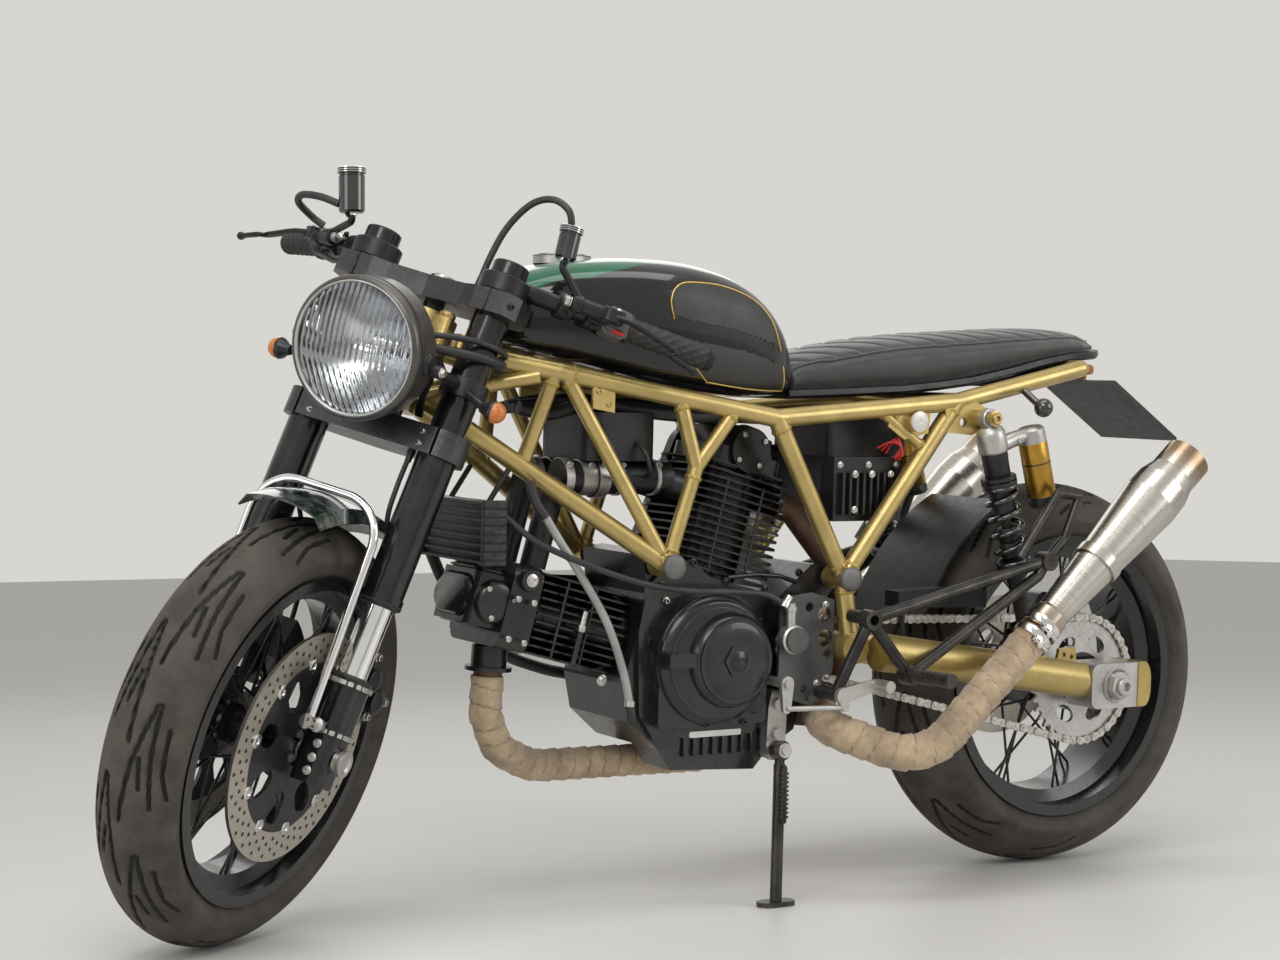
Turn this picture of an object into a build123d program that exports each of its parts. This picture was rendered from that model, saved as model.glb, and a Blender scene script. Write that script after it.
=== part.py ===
from build123d import *

import os
from math import asin, atan2, cos, degrees, hypot, pi, radians, sin, sqrt, tan

os.makedirs("parts", exist_ok=True)

# A cafe racer motorcycle with an air-cooled twin in a tube frame, in millimetres.
# The bike is drawn upright and straight: X forward, Y left, Z up, with its origin on
# the ground under the rear axle. The steered pieces are drawn in the steering frame,
# whose Z is the steering axis. At the end everything is turned to the parked stance:
# steering on its left stop, leaning on the side stand.

# Stance
wheelbase = 1402
rake_angle = 22.5
trail = 100
lean_angle = 3.6
steering_lock = 37

# Wheels
rear_tyre_radius = 315
rear_tyre_width = 178
rear_crown_radius = 98
front_tyre_radius = 300
front_tyre_width = 120
front_crown_radius = 64
tyre_wall = 9
rim_seat_radius = 219
rim_flange_height = 12
rim_sheet = 5
rear_rim_width = 146
front_rim_width = 92
spoke_radius = 2.2
spoke_sets = 9
axle_radius = 12
running_gap = 0.05
seat_gap = 0.3

# Fork
fork_spacing = 208
fork_tube_radius = 26
fork_outer_radius = 28
stanchion_radius = 21
lower_clamp_height = 428
lower_clamp_thickness = 38
upper_clamp_height = 640
upper_clamp_thickness = 32
stem_radius = 15
head_tube_radius = 29

# Brakes
front_disc_radius = 160
front_disc_bore = 119
front_disc_offset = 67
disc_thickness = 5
rear_disc_radius = 118

# Drive
chain_line = 110
chain_pitch = 15.875
rear_teeth = 40
front_teeth = 15
chain_half_height = 7.5
chain_inner_width = 9
chain_plate = 4.5

# Engine
crank_x = 712
crank_z = 375
cylinder_tilt = 15
crankcase_width = 190
fin_thickness = 3
fin_pitch = 11.5

# Frame tubes
rail_radius = 14
brace_radius = 11
swingarm_radius = 29
swingarm_y = 165

# Axles, shocks and stand
rear_axle_bore = 7
front_axle_bore = 8
shock_x, shock_z = 254, 739
shock_foot_x, shock_foot_z = 159, 388
shock_y = 160
shock_eye = 8
stand_fold_drop = 14

rake = radians(rake_angle)
head_foot = Vector(wheelbase + trail, 0, 0)
steering_plane = Plane(
    origin=head_foot, x_dir=(cos(rake), 0, sin(rake)), z_dir=(-sin(rake), 0, cos(rake))
)
fork_offset = front_tyre_radius * sin(rake) - trail * cos(rake)
axle_rise = front_tyre_radius * cos(rake) + trail * sin(rake)
leg_y = fork_spacing / 2
rear_axle = Vector(0, 0, rear_tyre_radius)
side_plane = Plane(origin=(0, 0, 0), x_dir=(1, 0, 0), z_dir=(0, -1, 0))


def rod(start, end, radius, bore=0):
    """Add a round bar, or a tube where bore is given, between two points."""
    start, end = Vector(*start), Vector(*end)
    with BuildSketch(Plane(origin=start, z_dir=end - start)) as section:
        Circle(radius)
        if bore:
            Circle(bore, mode=Mode.SUBTRACT)
    extrude(section.sketch, amount=(end - start).length)


def hole(start, end, radius):
    """Drill a round hole between two points."""
    start, end = Vector(*start), Vector(*end)
    with BuildSketch(Plane(origin=start, z_dir=end - start)) as section:
        Circle(radius)
    extrude(section.sketch, amount=(end - start).length, mode=Mode.SUBTRACT)


def bend(points, radii, radius):
    """Add a round bar along straight runs joined by arcs."""
    with BuildLine(mode=Mode.PRIVATE) as route:
        FilletPolyline(*points, radius=radii)
    path = route.wires()[0]
    with BuildSketch(Plane(origin=path @ 0, z_dir=path % 0)) as section:
        Circle(radius)
    sweep(section.sketch, path=path)


def both_sides(points):
    """Return each point list for the left side and for the right side."""
    return [[(x, side * y, z) for x, y, z in points] for side in (1, -1)]


bodies = {"root": {}, "steering": {}, "front_wheel": {}, "rear_wheel": {}, "side_stand": {}}


def keep(body, name, piece, place=Location()):
    """Store a finished piece, moved from its drawing frame to the upright bike."""
    bodies[body][name] = piece.moved(place)


# Wheels: drawn about Z, with +Z to the left of the bike.
wheel_turn = Plane(origin=(0, 0, 0), x_dir=(1, 0, 0), z_dir=(0, 1, 0)).location
rear_wheel_place = Location(rear_axle) * wheel_turn
front_wheel_place = steering_plane.location * Location((fork_offset, 0, axle_rise)) * wheel_turn


def make_tyre(radius, width, crown, rim_width):
    """A hollow tyre whose tread is one arc from shoulder to shoulder."""
    half = width / 2
    shoulder = radius - crown + sqrt(crown**2 - half**2)
    inner_half = half - tyre_wall
    inner_shoulder = radius - crown + sqrt((crown - tyre_wall) ** 2 - inner_half**2)
    bead = rim_seat_radius + seat_gap
    heel = rim_width / 2 - seat_gap
    toe = heel - 1.7 * tyre_wall
    over = rim_seat_radius + rim_flange_height + 1
    flank = (shoulder + over) / 2
    with BuildPart() as tyre:
        with BuildSketch(Plane.XZ):
            with BuildLine():
                ThreePointArc((shoulder, -half), (radius, 0), (shoulder, half))
                ThreePointArc((shoulder, half), (flank, 0.3 * heel + 0.7 * half), (over, heel))
                Line((over, heel), (bead, heel))
                Line((bead, heel), (bead, toe))
                Line((bead, toe), (inner_shoulder, inner_half))
                ThreePointArc(
                    (inner_shoulder, inner_half), (radius - tyre_wall, 0), (inner_shoulder, -inner_half)
                )
                Line((inner_shoulder, -inner_half), (bead, -toe))
                Line((bead, -toe), (bead, -heel))
                Line((bead, -heel), (over, -heel))
                ThreePointArc((over, -heel), (flank, -0.3 * heel - 0.7 * half), (shoulder, -half))
            make_face()
        revolve(axis=Axis.Z)
    return tyre.part


def make_spokes(rim_width, flange_radius, flange_y, under):
    """Crossed wire spokes from both hub flanges to the middle of the rim."""
    with BuildPart() as spokes:
        for side in (1, -1):
            for lead in (1, -1):
                for turn in range(spoke_sets):
                    start_angle = radians(360 / spoke_sets * (turn + 0.5 * (side > 0)) + 10 * lead)
                    end_angle = start_angle + radians(32 * lead)
                    rod(
                        (
                            (flange_radius - 6) * cos(start_angle),
                            (flange_radius - 6) * sin(start_angle),
                            side * (flange_y + lead),
                        ),
                        (
                            (under + 2) * cos(end_angle),
                            (under + 2) * sin(end_angle),
                            side * 0.16 * rim_width,
                        ),
                        spoke_radius,
                    )
    return spokes.part


def make_wheel(rim_width, hub_radius, flange_radius, flange_y, hub_half, bore_radius):
    """A drop-centre rim laced to a hub with crossed wire spokes."""
    half = rim_width / 2
    lip = rim_seat_radius + rim_flange_height
    well = rim_seat_radius - 20
    under = well - rim_sheet
    edge = rim_seat_radius - rim_sheet
    spokes = make_spokes(rim_width, flange_radius, flange_y, under)
    with BuildPart() as wheel:
        with BuildSketch(Plane.XZ):
            Polygon(
                (lip, half),
                (rim_seat_radius, half),
                (rim_seat_radius - 1, 0.6 * half),
                (well, 0.42 * half),
                (well, -0.42 * half),
                (rim_seat_radius - 1, -0.6 * half),
                (rim_seat_radius, -half),
                (lip, -half),
                (lip, -half - rim_sheet),
                (edge, -half - rim_sheet),
                (edge - 1, -0.66 * half),
                (under, -0.5 * half),
                (under, 0.5 * half),
                (edge - 1, 0.66 * half),
                (edge, half + rim_sheet),
                (lip, half + rim_sheet),
                align=None,
            )
        revolve(axis=Axis.Z)
        with BuildSketch(Plane.XY.offset(-hub_half)):
            Circle(hub_radius)
        extrude(amount=2 * hub_half)
        for side in (1, -1):
            with BuildSketch(Plane.XY.offset(side * flange_y - 3)):
                Circle(flange_radius)
            extrude(amount=6)
        add(spokes)
        with BuildSketch(Plane.XY.offset(-hub_half)):
            Circle(bore_radius)
        extrude(amount=2 * hub_half, mode=Mode.SUBTRACT)
    return wheel.part


rear_hub_half = 92
front_hub_half = front_disc_offset - disc_thickness / 2
keep("rear_wheel", "rear_tyre",
     make_tyre(rear_tyre_radius, rear_tyre_width, rear_crown_radius, rear_rim_width),
     rear_wheel_place)
keep("front_wheel", "front_tyre",
     make_tyre(front_tyre_radius, front_tyre_width, front_crown_radius, front_rim_width),
     front_wheel_place)
keep("front_wheel", "front_rim",
     make_wheel(front_rim_width, 28, 46, 34, front_hub_half, axle_radius + running_gap),
     front_wheel_place)

# Front brake discs on spider carriers, one each side of the front hub.
with BuildPart() as front_discs:
    for side in (1, -1):
        with BuildSketch(Plane.XY.offset(side * front_disc_offset - disc_thickness / 2)):
            Circle(front_disc_radius)
            Circle(front_disc_bore, mode=Mode.SUBTRACT)
        extrude(amount=disc_thickness)
keep("front_wheel", "front_discs", front_discs.part, front_wheel_place)

carrier_arms = 8
with BuildPart() as front_carriers:
    for side in (1, -1):
        with BuildSketch(Plane.XY.offset(side * front_disc_offset - disc_thickness / 2)):
            Circle(front_disc_bore - seat_gap)
            Circle(26, mode=Mode.SUBTRACT)
            with PolarLocations(0.72 * front_disc_bore, carrier_arms):
                SlotOverall(0.4 * front_disc_bore, 0.27 * front_disc_bore, rotation=0, mode=Mode.SUBTRACT)
        extrude(amount=disc_thickness)
keep("front_wheel", "front_carriers", front_carriers.part, front_wheel_place)

# Rear sprocket on the left of the rear hub and brake disc on the right.
rear_pitch_radius = chain_pitch / 2 / sin(pi / rear_teeth)
front_pitch_radius = chain_pitch / 2 / sin(pi / front_teeth)
sprocket_thickness = 6


def make_sprocket(teeth, pitch_radius, bore, windows, thickness):
    """A toothed plate: a disc at root size with a trapezoid tooth at each pitch."""
    root = pitch_radius - 5
    tip = pitch_radius + 4
    with BuildPart() as sprocket:
        with BuildSketch(Plane.XY.offset(chain_line - thickness / 2)):
            Circle(root)
            with PolarLocations((root + tip) / 2 - 1, teeth):
                Trapezoid(chain_pitch - 5.5, tip - root + 2, 72, rotation=-90)
            Circle(bore, mode=Mode.SUBTRACT)
            if windows:
                with PolarLocations(0.66 * root, windows):
                    Ellipse(0.13 * root, 0.2 * root, mode=Mode.SUBTRACT)
        extrude(amount=thickness)
    return sprocket.part


keep("rear_wheel", "rear_sprocket", make_sprocket(rear_teeth, rear_pitch_radius, 44, 6, sprocket_thickness), rear_wheel_place)

rear_wheel_part = make_wheel(rear_rim_width, 36, 58, 42, rear_hub_half, axle_radius + running_gap)
sprocket_face = chain_line - sprocket_thickness / 2
with BuildPart() as rear_rim:
    add(rear_wheel_part)
    for low, high, radius in (
        (rear_hub_half, sprocket_face - seat_gap, 54),
        (sprocket_face - seat_gap, chain_line + sprocket_thickness, 44 - seat_gap),
    ):
        with BuildSketch(Plane.XY.offset(low)):
            Circle(radius)
            Circle(axle_radius + running_gap, mode=Mode.SUBTRACT)
        extrude(amount=high - low)
keep("rear_wheel", "rear_rim", rear_rim.part, rear_wheel_place)

rear_disc_y = -(rear_hub_half + 6)
with BuildPart() as rear_disc:
    with BuildSketch(Plane.XY.offset(rear_disc_y)):
        Circle(rear_disc_radius)
        Circle(axle_radius + running_gap, mode=Mode.SUBTRACT)
        with PolarLocations(0.45 * rear_disc_radius, 6):
            Ellipse(13, 17, mode=Mode.SUBTRACT)
    extrude(amount=6)
keep("rear_wheel", "rear_disc", rear_disc.part, rear_wheel_place)

# Rear axle: a hollow spindle through hub, adjuster blocks, spacers and nuts.
arm_side = swingarm_radius + 2
axle_end = swingarm_y + arm_side + 24
with BuildPart() as rear_axle_set:
    for side in (1, -1):
        with BuildSketch(side_plane.offset(-side * swingarm_y)):
            with Locations((-8, rear_tyre_radius - 1)):
                RectangleRounded(118, 72, 14)
        extrude(amount=arm_side, both=True)
    for low, high, radius in (
        (chain_line + 14, swingarm_y, 20),
        (-swingarm_y, -rear_hub_half - 25, 20),
        (swingarm_y + arm_side, swingarm_y + arm_side + 5, 26),
        (swingarm_y + arm_side, swingarm_y + arm_side + 15, 19),
        (-swingarm_y - arm_side - 15, -swingarm_y - arm_side, 19),
    ):
        rod((0, low, rear_tyre_radius), (0, high, rear_tyre_radius), radius)
    rod((0, -axle_end, rear_tyre_radius), (0, axle_end, rear_tyre_radius), axle_radius)
    hole((0, -axle_end, rear_tyre_radius), (0, axle_end, rear_tyre_radius), rear_axle_bore)
keep("root", "rear_axle", rear_axle_set.part)

# Rear brake caliper on the right, its plate hung from the axle.
caliper_x, caliper_z = -70, rear_tyre_radius + 82
with BuildPart() as rear_caliper:
    with BuildSketch(side_plane.offset(rear_hub_half + 25)):
        with Locations((0, rear_tyre_radius)):
            Circle(28)
        with Locations((caliper_x, caliper_z)):
            Circle(20)
        make_hull()
        with Locations((0, rear_tyre_radius)):
            Circle(20 + seat_gap, mode=Mode.SUBTRACT)
    extrude(amount=8)
    with BuildSketch(side_plane.offset(rear_hub_half - 20)):
        with Locations((caliper_x, caliper_z)):
            RectangleRounded(84, 46, 14, rotation=-50)
    extrude(amount=45)
    with BuildSketch(side_plane.offset(rear_hub_half - 6)):
        with Locations((0, rear_tyre_radius)):
            Circle(rear_disc_radius + 6)
    extrude(amount=18, mode=Mode.SUBTRACT)
keep("root", "rear_caliper", rear_caliper.part)

# Engine: crankcase with flange plate and sump, drawn as side outlines.
tilt = radians(cylinder_tilt)
front_bore_plane = Plane(
    origin=(crank_x, 0, crank_z), x_dir=(cos(tilt), 0, sin(tilt)), z_dir=(-sin(tilt), 0, cos(tilt))
)
case_half = crankcase_width / 2
front_barrel_start = 135
rear_barrel_start = 118


def engine_point(along, up):
    """A point in the bike's middle plane, along the front bore and square to it."""
    point = front_bore_plane.from_local_coords((along, 0, up))
    return (point.X, point.Z)


with BuildPart() as crankcase:
    with BuildSketch(side_plane):
        Polygon(
            engine_point(front_barrel_start, 68),
            engine_point(front_barrel_start, -68),
            (848, 288),
            (800, 246),
            (600, 236),
            (556, 262),
            (536, 330),
            (534, 430),
            (484, 478),
            (488, 508),
            (530, 512),
            engine_point(-95, rear_barrel_start),
            engine_point(95, rear_barrel_start),
            (798, 536),
            (832, 532),
            align=None,
        )
    extrude(amount=case_half - 8, both=True)
    with BuildSketch(side_plane.offset(-case_half + 8)):
        Polygon(
            (827, 488), (790, 520), (751, 524), (722, 498), (640, 478), (622, 440), (622, 300), (636, 262),
            (812, 262), (838, 300), (842, 420), align=None,
        )
    extrude(amount=-8)
    with BuildSketch(side_plane.offset(case_half - 8)):
        Polygon((820, 480), (640, 500), (540, 470), (540, 300), (590, 262), (800, 262), (836, 320), align=None)
    extrude(amount=8)
    with BuildSketch(side_plane.offset(-14)):
        Polygon((800, 246), (776, 214), (628, 206), (600, 236), align=None)
    extrude(amount=-72)
keep("root", "crankcase", crankcase.part)

# Left alternator cover: stepped rings, an arm and a hexagonal cap.
cover_x, cover_z = 728, 378
with BuildPart() as left_cover:
    with BuildSketch(side_plane.offset(-case_half)):
        with Locations((cover_x, cover_z)):
            Circle(96)
        with Locations((cover_x - 4, cover_z - 64)):
            RectangleRounded(190, 66, 10)
    extrude(amount=-22)
    with BuildSketch(side_plane.offset(-case_half - 22)):
        with Locations((cover_x - 4, cover_z)):
            Circle(90)
    extrude(amount=-14, taper=22)
    with BuildSketch(side_plane.offset(-case_half - 36)):
        with Locations((cover_x - 23, cover_z + 1)):
            Circle(66)
    extrude(amount=-18, taper=12)
    with BuildSketch(side_plane.offset(-case_half - 22)):
        with Locations((cover_x + 52, cover_z + 4)):
            RectangleRounded(84, 30, 8)
    extrude(amount=-26, taper=10)
    with BuildSketch(side_plane.offset(-case_half - 54)):
        with Locations((cover_x - 23, cover_z + 2)):
            RegularPolygon(24, 6)
    extrude(amount=-6)
keep("root", "left_cover", left_cover.part)

# Right side: clutch cover with its drum, and the belt covers up to each head.
belt_thickness = 18
with BuildPart() as right_cover:
    with BuildSketch(side_plane.offset(case_half)):
        with Locations((612, 388)):
            Circle(78)
        with Locations((735, 375)):
            Circle(66)
        make_hull()
    extrude(amount=22)
    with BuildSketch(side_plane.offset(case_half + 22)):
        with Locations((612, 388)):
            Circle(70)
    extrude(amount=26, taper=8)
    for far in ((322, 0), (0, 312)):
        far_x, far_z = engine_point(*far)
        with BuildSketch(side_plane.offset(case_half)):
            with Locations((crank_x + 24, crank_z + 70)):
                Circle(36)
            with Locations((far_x, far_z)):
                Circle(40)
            make_hull()
        extrude(amount=belt_thickness)
keep("root", "right_cover", right_cover.part)

# Cylinders with open fins, each head with its valve covers and exhaust port.
barrel_radius = 56
front_fin_rows = 11
with BuildPart() as front_cylinder:
    with BuildSketch(Plane(front_bore_plane.from_local_coords((front_barrel_start, 0, 0)),
                           x_dir=(0, 1, 0), z_dir=front_bore_plane.x_dir)):
        Circle(barrel_radius)
    extrude(amount=180)
    for row in range(front_fin_rows):
        height = (row - (front_fin_rows - 1) / 2) * fin_pitch
        half = 82 - 0.35 * abs(height)
        with BuildSketch(front_bore_plane.offset(height - fin_thickness / 2)):
            with Locations(((front_barrel_start + 6 + 298) / 2, 0)):
                RectangleRounded(298 - front_barrel_start - 6, 2 * half, 14)
        extrude(amount=fin_thickness)
    with BuildSketch(Plane(front_bore_plane.from_local_coords((300, 0, 0)),
                           x_dir=(0, 1, 0), z_dir=front_bore_plane.x_dir)):
        RectangleRounded(150, 124, 20)
    extrude(amount=48)
    with BuildSketch(front_bore_plane.offset(-38)):
        with Locations((362, 0)):
            RectangleRounded(66, 120, 18)
    extrude(amount=76)
    front_port = front_bore_plane.from_local_coords((318, 0, -60))
    front_port_way = Vector(2, 0, -36).normalized()
    rod(front_port, front_port + front_port_way * 30, 26)
    rod(front_port + front_port_way * 30, front_port + front_port_way * 36, 34)
keep("root", "front_cylinder", front_cylinder.part)

rear_fin_rows = 15
with BuildPart() as rear_cylinder:
    with BuildSketch(front_bore_plane.offset(rear_barrel_start)):
        Circle(barrel_radius)
    extrude(amount=170)
    for row in range(rear_fin_rows):
        height = rear_barrel_start + 8 + row * fin_pitch
        narrow = 2 * max(0, row - 9)
        with BuildSketch(front_bore_plane.offset(height)):
            RectangleRounded(178 - narrow, 160 - narrow, 34)
        extrude(amount=fin_thickness)
    with BuildSketch(front_bore_plane.offset(285)):
        RectangleRounded(124, 132, 20)
    extrude(amount=30)
    with BuildSketch(front_bore_plane.offset(315)):
        RectangleRounded(112, 110, 24)
    extrude(amount=30, taper=12)
    with BuildSketch(side_plane.offset(-50)):
        with Locations(engine_point(8, 318)):
            Circle(38)
    extrude(amount=-24, taper=10)
    rear_port = front_bore_plane.from_local_coords((-58, 0, 255))
    rear_port_way = Vector(-36, 6, -8).normalized()
    rod(rear_port, rear_port + rear_port_way * 36, 26)
    rod(rear_port + rear_port_way * 36, rear_port + rear_port_way * 42, 34)
keep("root", "rear_cylinder", rear_cylinder.part)

# Sprocket cover plate with round windows, and the clutch slave cylinder on it.
front_sprocket_x, front_sprocket_z = 562, 392
cover_face = chain_line + 16
slave_x, slave_z = 601, 406
with BuildPart() as sprocket_cover:
    with BuildSketch(side_plane.offset(-cover_face)):
        Polygon(
            (518, 462), (560, 474), (596, 470), (616, 448), (618, 340), (606, 318), (560, 304), (528, 322),
            (517, 362), align=None,
        )
        for x, z, r in ((536, 440, 12), (533, 404, 13), (529, 380, 7), (564, 452, 7), (530, 342, 8), (572, 330, 6)):
            with Locations((x, z)):
                Circle(r, mode=Mode.SUBTRACT)
    extrude(amount=-5)
    for x, z in ((600, 456), (604, 338), (560, 316)):
        rod((x, case_half - 8, z), (x, cover_face, z), 7)
        rod((x, cover_face + 5, z), (x, cover_face + 11, z), 6)
    rod((slave_x, cover_face + 5, slave_z), (slave_x, cover_face + 30, slave_z), 19)
    rod((slave_x + 3, cover_face + 16, slave_z), (slave_x + 4, cover_face + 16, slave_z + 50), 6)
    with BuildSketch(side_plane.offset(case_half)):
        Polygon((200, 100), (1000, 100), (1000, 700), (200, 700), align=None)
    extrude(amount=-2 * case_half, mode=Mode.SUBTRACT)
keep("root", "sprocket_cover", sprocket_cover.part)

front_sprocket_place = Location((front_sprocket_x, 0, front_sprocket_z)) * wheel_turn
front_thickness = chain_inner_width - 2 * seat_gap
front_sprocket_plate = make_sprocket(front_teeth, front_pitch_radius, 9, 0, front_thickness)
with BuildPart() as front_sprocket:
    add(front_sprocket_plate)
    with BuildSketch(Plane.XY.offset(case_half + seat_gap)):
        Circle(12)
    extrude(amount=cover_face - case_half - 4)
keep("root", "front_sprocket", front_sprocket.part, front_sprocket_place)

# Chain: two rows of side plates with the sprocket teeth between them, and rollers on the free runs.
with BuildPart() as chain:
    for side in (1, -1):
        inner_face = side * chain_inner_width / 2
        with BuildSketch(side_plane.offset(-chain_line - inner_face)):
            for growth, mode in ((chain_half_height, Mode.ADD), (-chain_half_height, Mode.SUBTRACT)):
                with BuildSketch(mode=Mode.PRIVATE) as loop:
                    with Locations((0, rear_tyre_radius)):
                        Circle(rear_pitch_radius + growth)
                    with Locations((front_sprocket_x, front_sprocket_z)):
                        Circle(front_pitch_radius + growth)
                    make_hull()
                add(loop.sketch_local, mode=mode)
        extrude(amount=-side * chain_plate)
    run_length = hypot(front_sprocket_x, front_sprocket_z - rear_tyre_radius)
    run_angle = atan2(front_sprocket_z - rear_tyre_radius, front_sprocket_x)
    spread = asin((rear_pitch_radius - front_pitch_radius) / run_length)
    free_run = sqrt(run_length**2 - (rear_pitch_radius - front_pitch_radius) ** 2)
    rollers = int(free_run / chain_pitch) - 5
    for way in (1, -1):
        normal = run_angle + way * (pi / 2 - spread)
        run_dir = run_angle - way * spread
        for step in range(rollers):
            along = (step + 4) * chain_pitch
            x = rear_pitch_radius * cos(normal) + along * cos(run_dir)
            z = rear_tyre_radius + rear_pitch_radius * sin(normal) + along * sin(run_dir)
            rod((x, chain_line - chain_inner_width / 2, z), (x, chain_line + chain_inner_width / 2, z), 4)
keep("root", "chain", chain.part)

# Tube frame. Left-side joints of the frame, mirrored for the right side.
head_low = 800
head_high = 945


def on_head(height, side_step=0):
    """A point beside the steering axis at a height along it."""
    point = head_foot + Vector(-sin(rake), 0, cos(rake)) * height
    return (point.X, side_step, point.Z)


rail_front = (983, 95, 794)
rail_knee = (633, 130, 734)
rail_bend = (291, 128, 763)
rail_tail = (30, 120, 820)
engine_front = (814, 122, 519)
engine_rear = (501, 128, 494)
swing_pivot = (492, 140, 390)
brace_join = (767, 121, 661)
frame_tubes = [
    # start, end, radius
    (on_head(898, 14), rail_front, rail_radius),
    (rail_front, rail_knee, rail_radius),
    (rail_knee, rail_bend, rail_radius),
    (rail_bend, rail_tail, rail_radius),
    (on_head(830, 14), engine_front, rail_radius),
    (on_head(812, 14), (1012, 86, 788), brace_radius),
    ((990, 93, 793), (1022, 58, 660), brace_radius),
    ((976, 96, 792), engine_front, brace_radius),
    ((794, 114, 762), brace_join, brace_radius),
    ((701, 123, 746), brace_join, brace_radius),
    (brace_join, engine_front, brace_radius),
    (rail_knee, engine_rear, rail_radius),
    (rail_bend, engine_rear, rail_radius),
    ((447, 129, 750), (352, 128, 690), 8),
    (engine_rear, swing_pivot, rail_radius),
]
frame_plates = [
    # outline of a flat lug as (x, z), its inner face, thickness
    ([(322, 752), (318, 716), (268, 712), (238, 724), (236, 752), (262, 764)], rail_bend[1] + 4, 8),
    ([(420, 752), (428, 724), (396, 704), (350, 714), (345, 756)], 129, 5),
    ([(936, 776), (936, 744), (900, 738), (900, 772)], 104, 5),
]
with BuildPart() as frame:
    for start, end, radius in frame_tubes:
        rod(start, end, radius)
    for end in (rail_front, rail_knee, rail_bend, rail_tail):
        with Locations(end):
            Sphere(rail_radius)
    with Locations(brace_join):
        Sphere(brace_radius)
    for x, y, z in (engine_front, engine_rear):
        rod((x, case_half + seat_gap, z), (x, y + 20, z), 17)
    x, y, z = swing_pivot
    rod((x, y - 17, z), (x, y + 14, z), 24)
    for outline, face, thickness in frame_plates:
        with BuildSketch(side_plane.offset(-face)):
            Polygon(*outline, align=None)
        extrude(amount=-thickness)
    hole((286, 120, 732), (286, 150, 732), 7)
    rod((shock_x, rail_bend[1], shock_z), (shock_x, shock_y - 9 - seat_gap, shock_z), 14)
    rod((shock_x, rail_bend[1], shock_z), (shock_x, shock_y + 18, shock_z), shock_eye - running_gap)
    rod((377, 134, 732), (377, 146, 732), 13)
    mirror(about=Plane.XZ)
    rod(on_head(head_low), on_head(head_high), head_tube_radius)
    hole(on_head(head_low - 1), on_head(head_high + 1), stem_radius + running_gap)
    for x, y, z in (rail_bend, rail_tail):
        rod((x, -y, z), (x, y, z), rail_radius)
    rod((rail_front[0] - 60, -100, 784), (rail_front[0] - 60, 100, 784), brace_radius)
    rod((rail_knee[0] + 10, -130, 735), (rail_knee[0] + 10, 130, 735), brace_radius)
keep("root", "frame", frame.part)

# Swingarm: two large tubes, cross tube and pivot tube, with lugs for the shocks.
arm_front = (458, swingarm_y, 384)
pivot_half = swing_pivot[1] - 17 - seat_gap
with BuildPart() as swingarm:
    rod((20, swingarm_y, 318), arm_front, swingarm_radius)
    with BuildSketch(side_plane.offset(-shock_y - 9 - seat_gap)):
        Polygon((182, 350), (182, 392), (170, 404), (148, 404), (138, 392), (132, 350), align=None)
    extrude(amount=-7)
    rod((shock_foot_x, shock_y - 12, shock_foot_z), (shock_foot_x, shock_y + 22, shock_foot_z),
        shock_eye - running_gap)
    with BuildSketch(side_plane.offset(-swingarm_y + 12)):
        Polygon((92, 338), (84, 372), (50, 374), (46, 334), align=None)
        with Locations((58, 358), (74, 362)):
            Circle(4, mode=Mode.SUBTRACT)
    extrude(amount=6)
    mirror(about=Plane.XZ)
    rod((382, -swingarm_y, 371), (382, swingarm_y, 371), 24)
    for side in (1, -1):
        rod((382, side * 80, 371), (swing_pivot[0], side * 80, swing_pivot[2]), 14)
        with BuildSketch(side_plane.offset(-side * swingarm_y)):
            with Locations((-8, rear_tyre_radius - 1)):
                RectangleRounded(118 + 2 * seat_gap, 72 + 2 * seat_gap, 14)
        extrude(amount=arm_side, both=True, mode=Mode.SUBTRACT)
    rod((swing_pivot[0], -pivot_half, swing_pivot[2]), (swing_pivot[0], pivot_half, swing_pivot[2]), 23)
keep("root", "swingarm", swingarm.part)

# Twin rear shocks: each is turned about its own rod, eye to eye, then set in place.
shock_top = Vector(shock_x, shock_y, shock_z)
shock_foot = Vector(shock_foot_x, shock_y, shock_foot_z)
shock_length = (shock_foot - shock_top).length
spring_turns = 7
spring_top, spring_foot = 82, 214
spring_pitch = (spring_foot - spring_top) / (spring_turns - 1)
shock_profile = [(12, 0), (12, 7), (18, 7), (18, 20), (62, 20), (62, 28), (72, 28), (72, 19)]
for coil in range(spring_turns):
    middle = spring_top + coil * spring_pitch
    shock_profile += [(middle - 5, 19), (middle - 3, 29), (middle + 3, 29), (middle + 5, 19)]
shock_profile += [(224, 19), (224, 29), (236, 29), (236, 7), (shock_length - 12, 7), (shock_length - 12, 0)]
with BuildPart() as shocks:
    for side in (1, -1):
        top = Vector(shock_x, side * shock_y, shock_z)
        foot = Vector(shock_foot_x, side * shock_y, shock_foot_z)
        run = (foot - top).normalized()
        with BuildSketch(Plane(origin=top, x_dir=run, z_dir=(0, 1, 0))):
            Polygon(*shock_profile, align=None)
        revolve(axis=Axis(top, run))
        for eye in (top, foot):
            rod(eye - Vector(0, 9, 0), eye + Vector(0, 9, 0), 15)
        for eye in (top, foot):
            hole(eye - Vector(0, 40, 0), eye + Vector(0, 40, 0), shock_eye)
keep("root", "shocks", shocks.part)

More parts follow.
